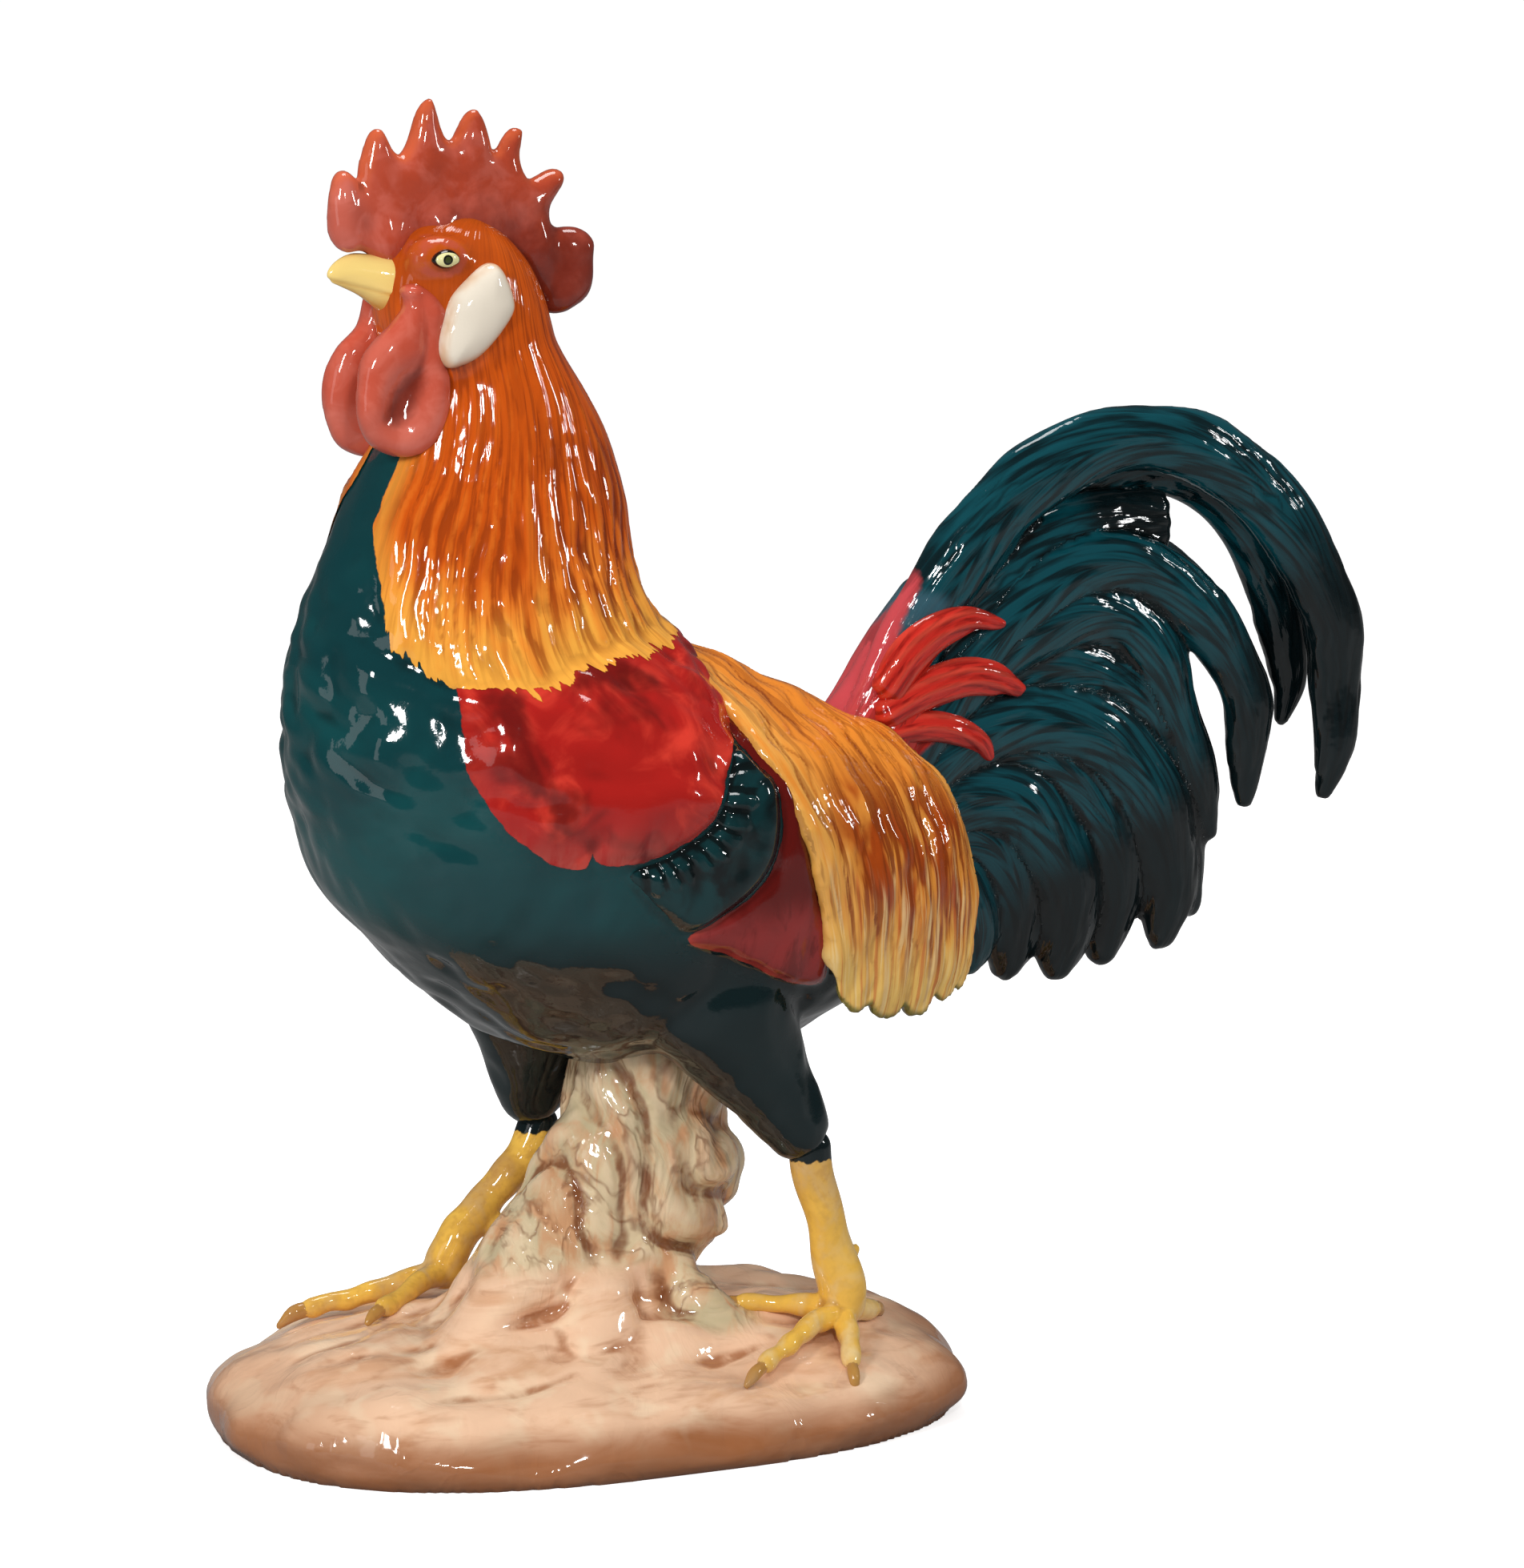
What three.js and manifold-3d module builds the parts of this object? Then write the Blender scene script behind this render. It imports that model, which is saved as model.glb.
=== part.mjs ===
// A glazed earthenware cockerel on a mound, as the slip-cast pieces that a potter sticks up.
// Millimetres, +Z up. The bird faces -X and its left side is -Y. The origin is the middle of
// the flat underside of the mound.
import * as THREE from 'three';
import { mergeVertices } from 'three/addons/utils/BufferGeometryUtils.js';
import Module from 'manifold-3d';

const wasm = await Module();
wasm.setup();

// Driving sizes: pottery
const slipLine = 0.3; // joint between two pieces stuck up with slip
const castWall = 4.5; // wall that the slip builds in the mould
const floorWall = 3.5; // flat floor of the mound
const ventBore = 6; // hole in the floor that lets the firing air out
const ventOffset = 26; // from the middle of the floor towards the tail
const flueBore = 11; // way for the air from the mound through the stump to the body

// Driving sizes: mound and stump
const moundLength = 140;
const moundWidth = 95;
const moundHeight = 24;
const moundPower = 2.45; // how square the oval of the mound is
const nearFall = 0.42; // how much lower the mound's left edge lies than its right one
const stumpGirth = 30; // width of the stump at its waist, seen from the side
const stumpDepth = 25; // depth of the stump at its waist, across the bird
const stumpFold = 1.3; // depth of the folds in the bark

// Driving sizes: bird
const bellyHeight = 67; // lowest point of the belly above the table
const torsoLength = 118;
const torsoWidth = 77;
const torsoRise = 129; // belly to the top of the neck
const neckFlute = 1.5; // how far a strand of the neck hackle stands out
const hackleLift = 2.2; // thickness of the neck hackle on the body
const saddleThick = 2.8; // thickness of the saddle hackle at its hem
const saddleLocks = 5; // locks of feathers along its hem, on each side
const lockNotch = 3.4; // how far the hem is notched between two locks
const lockSwell = 0.6; // how far a lock stands out
const combRise = 28.5; // from the skull to the tallest point
const combThick = 7;
const wattleDrop = 30;
const lobeLength = 19;
const eyeWidth = 6.4;
const wingLift = 4; // how far the wing bow stands out from the flank
const thighGirth = 24; // width of the thigh where it leaves the body
const shankGirth = 6.6;
const toeGirth = 3.8;
const spurLength = 5;
const tailReach = 106; // from the root of the tail to its farthest point behind
const tailRise = 86; // from the root of the tail to its highest point
const tailThick = 15; // across the fan, near its root
const sickleWidth = 13.4;
const sickleThick = 8;
const covertWidth = 6.8;
const fanWidth = 17; // of one feather of the fan, at its middle

// Glazes: colour, roughness and metalness
function glaze(colour, roughness = 0.12) {
  return new THREE.MeshStandardMaterial({ color: colour, roughness, metalness: 0 });
}
const glazes = {
  earth: glaze('#d9ab84'),
  bark: glaze('#c6b391'),
  teal: glaze('#0d4248'),
  tail: glaze('#0b3d45'),
  orange: glaze('#c4631a'),
  gold: glaze('#d99a3a'),
  crimson: glaze('#a3141f'),
  maroon: glaze('#74151c'),
  coral: glaze('#b8433f'),
  cream: glaze('#e9e2cd'),
  yellow: glaze('#e6c15c'),
  iris: glaze('#ddd27e'),
};

// Closed skin through rings of points, each ring with as many points, closed at both ends
function skin(rings) {
  const sides = rings[0].length;
  const places = [];
  for (const ring of rings) {
    for (const point of ring) places.push(point.x, point.y, point.z);
  }
  for (const ring of [rings[0], rings.at(-1)]) {
    const middle = ring.reduce((sum, point) => sum.add(point), new THREE.Vector3());
    middle.divideScalar(sides);
    places.push(middle.x, middle.y, middle.z);
  }
  const firstPole = rings.length * sides;
  const faces = [];
  for (let side = 0; side < sides; side++) {
    const next = (side + 1) % sides;
    const last = (rings.length - 1) * sides;
    faces.push(firstPole, next, side, firstPole + 1, last + side, last + next);
    for (let ring = 0; ring < rings.length - 1; ring++) {
      const low = ring * sides;
      const high = low + sides;
      faces.push(low + side, low + next, high + next, low + side, high + next, high + side);
    }
  }
  const geometry = new THREE.BufferGeometry();
  geometry.setAttribute('position', new THREE.Float32BufferAttribute(places, 3));
  geometry.setIndex(faces);
  return facingOut(geometry);
}

// The same skin with its faces turned out, if its volume comes out negative
function facingOut(geometry) {
  const place = geometry.attributes.position;
  const index = geometry.index.array;
  const corner = [new THREE.Vector3(), new THREE.Vector3(), new THREE.Vector3()];
  let volume = 0;
  for (let start = 0; start < index.length; start += 3) {
    corner.forEach((vector, step) => vector.fromBufferAttribute(place, index[start + step]));
    volume += corner[0].dot(corner[1].clone().cross(corner[2]));
  }
  if (volume < 0) {
    for (let start = 0; start < index.length; start += 3) {
      [index[start + 1], index[start + 2]] = [index[start + 2], index[start + 1]];
    }
  }
  return geometry;
}

// Merged skin, with each corner moved out along its normal
function grown(geometry, distance) {
  const bare = geometry.clone();
  for (const name of ['normal', 'uv']) bare.deleteAttribute(name);
  const merged = mergeVertices(bare, 1e-4);
  merged.computeVertexNormals();
  const place = merged.attributes.position;
  const normal = merged.attributes.normal;
  for (let corner = 0; corner < place.count; corner++) {
    const moved = new THREE.Vector3().fromBufferAttribute(place, corner);
    moved.addScaledVector(new THREE.Vector3().fromBufferAttribute(normal, corner), distance);
    place.setXYZ(corner, moved.x, moved.y, moved.z);
  }
  return merged;
}

// One solid from closed skins that may run through each other
function solid(skins, distance = 0) {
  const bodies = [skins].flat().map((geometry) => {
    const merged = grown(geometry, distance);
    return new wasm.Manifold(new wasm.Mesh({
      numProp: 3,
      vertProperties: new Float32Array(merged.attributes.position.array),
      triVerts: new Uint32Array(merged.index.array),
    }));
  });
  return bodies.reduce((whole, body) => whole.add(body));
}

// Solid cut back from its neighbours by the slip line
function seated(body, ...neighbours) {
  return neighbours.reduce((left, skins) => left.subtract(solid(skins, slipLine)), body);
}

// Smooth run of values between rows whose first column is the place
function smooth(rows) {
  const places = rows.map((row) => row[0]);
  const values = rows.flatMap((row) => row.slice(1));
  const curve = new THREE.CubicInterpolant(places, values, rows[0].length - 1);
  return (place) => Array.from(curve.evaluate(THREE.MathUtils.clamp(place, places[0], places.at(-1))));
}

// Evenly spaced values from a first to a last, both kept
function spread(first, last, steps) {
  return Array.from({ length: steps + 1 }, (_, step) => first + ((last - first) * step) / steps);
}

// Oval with the given squareness, as the pair of offsets at an angle
function oval(angle, length, width, power = 2) {
  const along = Math.cos(angle);
  const across = Math.sin(angle);
  return [
    length * Math.sign(along) * Math.abs(along) ** (2 / power),
    width * Math.sign(across) * Math.abs(across) ** (2 / power),
  ];
}

// Round form of level slices: the profile gives front, back, half width and squareness at a height
function slices(profile, heights, sides, shift = () => 0) {
  return skin(heights.map((height) => {
    const [front, back, half, power] = profile(height);
    return spread(0, 2 * Math.PI, sides).slice(0, -1).map((angle) => {
      const proud = shift(angle, height);
      const [along, across] = oval(angle, (back - front) / 2 + proud, half + proud, power);
      return new THREE.Vector3((front + back) / 2 + along, across, height);
    });
  }));
}

// Long form along a curve: each row is x, y, z, half width in the side view and half thickness
function limb(rows, sides = 10, steps = 2 * rows.length, across = new THREE.Vector3(0, 1, 0)) {
  const curve = new THREE.CatmullRomCurve3(rows.map(([x, y, z]) => new THREE.Vector3(x, y, z)));
  const girth = smooth(rows.map((row, index) => [index / (rows.length - 1), row[3], row[4]]));
  return skin(spread(0, 1, steps).map((share) => {
    const middle = curve.getPoint(share);
    const ahead = curve.getTangent(share);
    const broad = new THREE.Vector3().crossVectors(ahead, across).normalize();
    const deep = new THREE.Vector3().crossVectors(broad, ahead).normalize();
    const [half, thick] = girth(share).map((value) => Math.max(value, 0.2));
    return spread(0, 2 * Math.PI, sides).slice(0, -1).map((angle) => middle.clone()
      .addScaledVector(broad, half * Math.cos(angle))
      .addScaledVector(deep, thick * Math.sin(angle)));
  }));
}

// Ellipsoid with its own half sizes, turned about the axis across the bird
function pebble(x, y, z, halves, tilt = 0, detail = 14) {
  const ball = new THREE.SphereGeometry(1, detail, Math.ceil(detail * 0.6));
  ball.scale(...halves);
  ball.rotateY(tilt);
  return ball.translate(x, y, z);
}

// Side view outline, pushed through the bird from one side to the other
function sideCutter(points, halfWidth) {
  const shape = new THREE.Shape(points.map(([x, z]) => new THREE.Vector2(x, z)));
  const slab = new THREE.ExtrudeGeometry(shape, { depth: 2 * halfWidth, bevelEnabled: false });
  slab.translate(0, 0, -halfWidth);
  return slab.rotateX(Math.PI / 2);
}

// Closed smooth outline through side view points
function rounded(points, count) {
  const flat = points.map(([x, z]) => new THREE.Vector3(x, 0, z));
  const curve = new THREE.CatmullRomCurve3(flat, true);
  return curve.getPoints(count).slice(0, -1).map((point) => [point.x, point.z]);
}

// The side view is drawn on a bird of these sizes and stretched to the driving ones
const drawnTorso = { length: 118, width: 77, rise: 129, belly: 67 };
const stretch = {
  x: torsoLength / drawnTorso.length,
  y: torsoWidth / drawnTorso.width,
  z: torsoRise / drawnTorso.rise,
};
const onBird = ([x, z]) => [x * stretch.x, bellyHeight + (z - drawnTorso.belly) * stretch.z];
const overBird = (across) => across * stretch.y;

// Mound: oval rings that rise from the table, over the bulge and up to the stump
const moundRise = smooth([
  [0, 0], [0.2, 0.04], [0.4, 0.09], [0.6, 0.17], [0.8, 0.29], [0.88, 0.37], [0.94, 0.47], [1, 0.68],
]);
const moundLump = 0.7;
function moundTop(x, y) {
  const share = (Math.abs((2 * x) / moundLength) ** moundPower
    + Math.abs((2 * y) / moundWidth) ** moundPower) ** (1 / moundPower);
  const fall = nearFall * Math.max(0, (-2 * y) / moundWidth) ** 2;
  const lumps = moundLump * Math.sin(x / 6.5 + y / 9) * Math.cos(y / 7 - x / 15) * (1 - share ** 4);
  return moundHeight * (1 - moundRise(Math.min(share, 1))[0]) * (1 - fall) + lumps;
}
const moundBulge = moundHeight * 0.32 * (1 - nearFall);
function moundRing(share, height, sides = 30) {
  return spread(0, 2 * Math.PI, sides).slice(0, -1).map((angle) => {
    const [x, y] = oval(angle, (share * moundLength) / 2, (share * moundWidth) / 2, moundPower);
    return new THREE.Vector3(x, y, height ?? moundTop(x, y));
  });
}
const mound = skin([
  moundRing(0.955, 0),
  moundRing(0.985, moundBulge * 0.35),
  moundRing(1, moundBulge * 0.9),
  ...[0.985, 0.93, 0.84, 0.7, 0.53, 0.32].map((share) => moundRing(share)),
]);

// Torso and neck in level slices
const torsoProfile = smooth([
  [67, -4, 30, 8, 2.1], [70, -13, 40, 17, 2.2], [74, -21, 47, 24, 2.2], [81, -30, 57, 30, 2.3],
  [88, -38.3, 62, 34, 2.4], [100, -49, 64, 37.5, 2.4], [112, -54.2, 63, 38.5, 2.3], [120, -56.3, 56, 38, 2.2],
  [126, -57, 42, 36, 2.1], [131, -57.3, 30, 33.5, 2], [137, -56.8, 19.5, 30.5, 2], [143, -55.8, 13, 27.5, 2],
  [151, -53.1, 8.8, 24, 2], [160, -49.2, 6.2, 21, 2], [170, -44.8, 4.6, 18.5, 2], [180, -39.6, 2.4, 16, 2],
  [190, -35, -2.4, 13.8, 2], [196, -33, -6.2, 12.8, 2],
]);
function torsoAt(height) {
  const drawn = drawnTorso.belly + (height - bellyHeight) / stretch.z;
  const [front, back, half, power] = torsoProfile(drawn);
  return [front * stretch.x, back * stretch.x, half * stretch.y, power];
}
const torsoHeights = [
  67, 70, 75, 82, 91, 102, 112, 120, 126, 131, 137, 145, 156, 169, 182, 196,
].map((height) => onBird([0, height])[1]);
const torso = slices(torsoAt, torsoHeights, 26);

// Half width of the torso at a side view point, and the place and normal of its skin there
function flank(x, z) {
  const [front, back, half, power] = torsoAt(z);
  const share = Math.min(Math.abs((2 * x - front - back) / (back - front)), 0.97);
  return half * (1 - share ** power) ** (1 / power);
}
function onFlank(x, z, lift, side) {
  const step = 0.5;
  const slopeX = (flank(x + step, z) - flank(x - step, z)) / (2 * step);
  const slopeZ = (flank(x, z + step) - flank(x, z - step)) / (2 * step);
  const out = new THREE.Vector3(-slopeX, 1, -slopeZ).normalize();
  const point = new THREE.Vector3(x, flank(x, z), z).addScaledVector(out, lift);
  point.y *= side;
  return point;
}

// Hollow of the torso, open below to the stump and above to the head
const hollowHeights = [78, 88, 104, 124, 134, 150, 174, 200].map((z) => onBird([0, z])[1]);
const hollow = slices((height) => {
  const [front, back, half, power] = torsoAt(height);
  const draw = castWall * (height < onBird([0, 136])[1] ? 1.6 : 1);
  return [front + draw, back - draw * 1.3, half - draw, power];
}, hollowHeights, 12);

// Stump: bark in folds from the mound to the belly
const stumpMiddle = 7;
const stumpProfile = smooth([
  [15, -2.8, 1.25, 1.5], [20, -2.65, 1.1, 1.35], [25, -2.3, 0.95, 1.15], [31, -1.85, 1, 1],
  [40, -1.3, 1.3, 1], [48, -0.9, 1.35, 1.02], [56, -0.6, 1.2, 1], [64, -0.45, 1.1, 1], [80, -0.4, 0.8, 1],
]);
function stumpAt(height) {
  const [left, right, deep] = stumpProfile((height * drawnTorso.belly) / bellyHeight);
  const half = stumpGirth / 2;
  return [stumpMiddle + left * half - 1, stumpMiddle + right * half + 1, (deep * stumpDepth) / 2, 2];
}
function barkFold(angle, height) {
  const twist = height / 11;
  return stumpFold * (Math.sin(3 * angle + twist) + 0.6 * Math.sin(7 * angle - 1.7 * twist)) * 0.6;
}
const stumpTop = bellyHeight + 8;
// Roots: along, across, above the mound, half width and half thickness
const stumpRoots = [
  [[-13, -5, 13, 8, 7], [-26, -9, 2, 8, 6], [-42, -14, -3.5, 6, 4]],
  [[0, -9, 13, 7, 6], [-6, -19, 1.6, 7, 6], [-18, -31, -3.6, 6, 5]],
  [[12, -7, 5, 6, 5], [19, -17, -1.5, 7, 5], [26, -27, -5, 6, 4]],
  [[8, 8, 10.7, 6, 5], [12, 20, 2.4, 7, 5], [18, 30, -1.5, 5, 3]],
];
function rootOf(rows) {
  const places = rows.map(([x, y, lift, half, thick]) => [x, y, moundTop(x, y) + lift, half, thick]);
  return limb(places, 8, 3, new THREE.Vector3(0, 0, 1));
}
const stump = [
  slices(stumpAt, spread(14, stumpTop, 8), 16, barkFold),
  ...stumpRoots.map(rootOf),
];

// Flue of the stump, down into the mound and up into the torso
const flueLow = floorWall + 6;
const flueTop = bellyHeight + castWall * 3;
const flueLean = 3;
const flue = limb([
  [stumpMiddle - flueLean, 0, flueLow, flueBore / 2, flueBore / 2],
  [stumpMiddle, 0, (flueLow + flueTop) / 2, flueBore / 2, flueBore / 2],
  [stumpMiddle + flueLean, 0, flueTop, flueBore / 2, flueBore / 2],
], 8, 2);
const moundHollow = skin([
  moundRing(0.8, floorWall, 12),
  moundRing(0.86, moundBulge, 12),
  moundRing(0.74, moundHeight * 0.4, 12),
  moundRing(0.35, moundHeight * 0.55, 12),
]);
const vent = new THREE.CylinderGeometry(ventBore / 2, ventBore / 2, 4 * floorWall, 20);
vent.rotateX(Math.PI / 2);
vent.translate(ventOffset, 0, floorWall);

// Legs: each foot is drawn by its ankle, its knee at the thigh and the tips of its toes
const feet = {
  left: { side: -1, knee: [34.5, 50], kneeOut: 23, ankle: [41, -22], hip: [11, 90], hipOut: 20,
    bend: [22, 69], toes: [[20, -13], [14, -37.5], [35, -38.5], [52, -15]] },
  right: { side: 1, knee: [-0.8, 49], kneeOut: 22, ankle: [-17.5, 21], hip: [-4, 84], hipOut: 19,
    bend: [-1, 64], toes: [[-50, 26], [-40.5, 7], [-31, 37], [-6, 26]] },
};
const ankleLift = 5;
function thighOf({ side, knee, kneeOut, hip, hipOut, bend }) {
  const half = thighGirth / 2;
  const rows = [[hip, hipOut, 1.6], [bend, (hipOut + kneeOut) / 2, 0.85], [knee, kneeOut, 0.38]];
  const places = rows.map(([drawn, out, share]) => {
    const [x, z] = onBird(drawn);
    return [x, side * overBird(out), z, half * share, half * share * 0.85];
  });
  return limb(places, 16, 8);
}
function footOf({ side, knee, kneeOut, ankle: [ankleX, ankleY], toes }) {
  const [kneeX, kneeZ] = onBird(knee);
  const ankleZ = moundTop(ankleX, ankleY) + ankleLift;
  const half = shankGirth / 2;
  const kneeY = side * overBird(kneeOut);
  const shank = limb([
    [kneeX + (kneeX - ankleX) * 0.12, kneeY, kneeZ + 4, half * 0.8, half * 0.8],
    [kneeX, kneeY, kneeZ - 2, half * 1.15, half],
    [(kneeX + ankleX) / 2, (kneeY + ankleY) / 2, (kneeZ + ankleZ) / 2, half, half * 0.92],
    [ankleX, ankleY, ankleZ, half * 1.4, half * 1.25],
    [ankleX, ankleY, ankleZ - ankleLift, half * 1.2, half * 1.1],
  ], 8, 7);
  const thin = toeGirth / 2;
  const digits = toes.map(([tipX, tipY]) => {
    const onMound = (share, lift) => {
      const x = ankleX + (tipX - ankleX) * share;
      const y = ankleY + (tipY - ankleY) * share;
      return [x, y, moundTop(x, y) + lift];
    };
    return limb([
      [...onMound(0, ankleLift * 0.7), thin * 1.2, thin * 1.2],
      [...onMound(0.3, thin * 1.4), thin * 1.05, thin * 1.05],
      [...onMound(0.62, thin * 0.75), thin * 0.95, thin * 0.95],
      [...onMound(0.84, thin * 0.7), thin, thin],
      [...onMound(1, thin * 0.1), 0.5, 0.5],
    ], 5, 5, new THREE.Vector3(0, 0, 1));
  });
  return [shank, ...digits];
}
function spurOf({ side, knee, kneeOut, ankle: [ankleX, ankleY] }) {
  const [kneeX, kneeZ] = onBird(knee);
  const share = 0.72;
  const x = kneeX + (ankleX - kneeX) * share;
  const y = side * overBird(kneeOut) * (1 - share) + ankleY * share;
  const z = kneeZ + (moundTop(ankleX, ankleY) + ankleLift - kneeZ) * share;
  const root = shankGirth / 2;
  return limb([
    [x, y, z, 1.8, 1.8],
    [x + root, y - side * 1.5, z + 0.5, 1.6, 1.6],
    [x + root + spurLength, y - side * 3, z + 3, 0.4, 0.4],
  ], 8, 5);
}

// Head and what sits on it
const headProfile = smooth([
  [188, -33, -5, 11.5, 2], [194, -36.5, -6.5, 12.6, 2.1], [201, -39, -8.2, 12.8, 2.2],
  [207, -40, -9.8, 12.3, 2.2], [212, -39, -12, 10.8, 2.2], [216, -36.5, -16, 8, 2.1], [219, -32, -21, 3.4, 2],
]);
function headAt(height) {
  const [front, back, half, power] = headProfile(drawnTorso.belly + (height - bellyHeight) / stretch.z);
  return [front * stretch.x, back * stretch.x, half * stretch.y, power];
}
const headHeights = [189, 195, 201, 206, 210, 213.5, 216.5, 219].map((z) => onBird([0, z])[1]);
const head = slices(headAt, headHeights, 18);

// Comb: a curved blade over the skull, with points that grow out of it
const combRoot = 212;
const combDrawnRise = 28.5;
const combThin = 1.2; // half thickness at the end of a point
function onComb([x, z]) {
  return onBird([x, z > combRoot ? combRoot + ((z - combRoot) * combRise) / combDrawnRise : z]);
}
function combLimb(rows, sides, steps) {
  return limb(rows.map(([x, z, half, thick]) => {
    const [placeX, placeZ] = onComb([x, z]);
    return [placeX, 0, placeZ, half, thick];
  }), sides, steps);
}
const combHalf = combThick / 2;
const combBlade = [
  [-49, 217.5, 3, combHalf * 0.5], [-45.5, 218, 6.5, combHalf * 0.8], [-38, 219.5, 9, combHalf],
  [-29, 221, 9.5, combHalf], [-19, 220, 10, combHalf], [-10, 214.5, 9.5, combHalf],
  [-3, 209, 7.5, combHalf * 0.85], [-0.5, 205.5, 3, combHalf * 0.45],
];
const combPoints = [
  [[-42.5, 216], [-46.4, 228.2]], [[-37.5, 218], [-39.3, 235.4]], [[-29.5, 219], [-29.5, 240.9]],
  [[-22, 219], [-20.6, 239.8]], [[-16, 217], [-13.2, 235]], [[-11, 213], [-5.2, 227.3]],
  [[-10, 211], [1.4, 214.3]],
];
const combPointHalf = 4.7;
const comb = [
  combLimb(combBlade, 10, 8),
  ...combPoints.map(([root, tip]) => combLimb([
    [...root, combPointHalf, combHalf * 0.9],
    [root[0] * 0.5 + tip[0] * 0.5, root[1] * 0.5 + tip[1] * 0.5, combPointHalf * 0.92, combHalf * 0.8],
    [root[0] * 0.2 + tip[0] * 0.8, root[1] * 0.2 + tip[1] * 0.8, combPointHalf * 0.52, combHalf * 0.62],
    [...tip, combThin, combThin],
  ], 6, 3)),
];

// Beak: two halves from the face forward
function beakHalf(rows) {
  return limb(rows.map(([x, z, deep, wide]) => {
    const [placeX, placeZ] = onBird([x, z]);
    return [placeX, 0, placeZ, deep, overBird(wide)];
  }), 14, 8);
}
const beakUpper = beakHalf([
  [-31, 208.5, 5.2, 6], [-37.5, 209.2, 4.3, 5], [-43, 210, 3.4, 3.4], [-47, 210.2, 2.3, 1.9],
  [-49, 209.4, 0.7, 0.7],
]);
const beakLower = beakHalf([
  [-31, 203.2, 3.2, 4.6], [-37, 204.4, 2.9, 3.7], [-42, 206.6, 1.9, 2.6], [-46, 208, 0.6, 1],
]);

// Wattles, ear lobes and eyes
function wattleOf(side) {
  const out = overBird(8.2);
  const drop = wattleDrop / 30;
  const rows = [
    [207, -37.5, -32, 1.6], [202, -40.8, -31, 2.8], [196, -44.3, -29.6, 3.4], [190, -47, -29, 3.8],
    [185, -47.6, -29.5, 3.7], [180.5, -45.6, -32, 3], [178, -42, -36, 1.4],
  ].reverse();
  const top = 207;
  const profile = smooth(rows.map(([z, front, back, half]) => [z, front, back, half]));
  const heights = spread(178, top, 7).map((z) => onBird([0, top - (top - z) * drop])[1]);
  const form = slices((height) => {
    const drawn = top - (onBird([0, top])[1] - height) / (drop * stretch.z);
    const [front, back, half] = profile(drawn);
    return [front * stretch.x, back * stretch.x, half, 2.2];
  }, heights, 10);
  return form.translate(0, side * out, 0);
}
function wattleDent(side) {
  const [x, z] = onBird([-37, 191]);
  return pebble(x, side * (overBird(8.2) + 4.6), z, [3.4, 2.6, 8], 0.12, 10);
}
function lobeOf(side) {
  const [x, z] = onBird([-25.2, 202.8]);
  return pebble(x, side * overBird(11.8), z, [5.2, 3.4, lobeLength / 2], 0.62, 11);
}
function eyeOf(side) {
  const [x, z] = onBird([-30.6, 212.4]);
  return pebble(x, side * overBird(10.2), z, [eyeWidth / 2, 1.8, eyeWidth * 0.36], -0.15, 10);
}

// Wing parts: raised plates that follow the flank, each inside its own outline
function plate(drawn, side, { lift, rim = 0.9, count = 22, relief = () => 0 }) {
  const outline = rounded(drawn.map(onBird), count);
  const middle = outline.reduce(([x, z], point) => [x + point[0] / count, z + point[1] / count], [0, 0]);
  const ring = (share, height) => outline.map(([x, z]) => {
    const placeX = middle[0] + (x - middle[0]) * share;
    const placeZ = middle[1] + (z - middle[1]) * share;
    return onFlank(placeX, placeZ, height(placeX, placeZ), side);
  });
  const top = (share) => (x, z) => rim + (lift - rim) * (1 - share ** 3) + relief(x, z) * (1 - share ** 4);
  const sunk = () => -castWall / 2;
  return skin([
    ring(0.6, sunk),
    ring(1, sunk),
    ...[1, 0.84, 0.5].map((share) => ring(share, top(share))),
  ]);
}
const featherRun = (x, z) => 0.5 * Math.sin((x * 0.5 + z) / 1.6);
const scaleRun = (x, z) => 0.55 * Math.sin(x / 1.9) * Math.cos(z / 2.2);
const wingBow = [
  [-39, 138], [-40, 128], [-33, 117], [-19, 109.5], [-4, 109], [5, 115], [10.5, 125], [8, 134],
  [-0.5, 142], [-12, 144.5], [-25, 143.5],
];
const wingBar = [
  [-19, 108.5], [-8, 104], [4, 99.5], [12, 102], [18, 108], [21, 115], [19.5, 124], [14, 131.5],
  [10, 131], [12, 124], [6.5, 113.5], [-4, 107.6],
];
const wingBay = [
  [2, 96], [10, 99], [17, 105], [21, 112.5], [24, 119], [29, 113], [31, 100], [31, 86], [26, 84], [13, 89],
];
const wings = [-1, 1].map((side) => ({
  side,
  bow: plate(wingBow, side, { lift: wingLift, count: 24 }),
  bar: plate(wingBar, side, { lift: wingLift * 0.72, rim: 1.2, count: 28, relief: scaleRun }),
  bay: plate(wingBay, side, { lift: wingLift * 0.55, rim: 1, relief: featherRun }),
}));

// Tail: feathers drawn from the root outwards in the side view, stretched from the root
const tailRoot = [55, 95];
const drawnTail = { reach: 106, rise: 86 };
function onTail([x, z]) {
  const [rootX, rootZ] = onBird(tailRoot);
  return [
    rootX + ((x - tailRoot[0]) * tailReach) / drawnTail.reach,
    rootZ + ((z - tailRoot[1]) * tailRise) / drawnTail.rise,
  ];
}
function feather(drawn, widths, thicks, out = 0, sides = 8, steps = drawn.length) {
  return limb(drawn.map((point, index) => {
    const [x, z] = onTail(point);
    const outward = Array.isArray(out) ? out[index] : out;
    return [x, outward, z, widths[index], thicks[index]];
  }), sides, steps);
}
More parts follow.
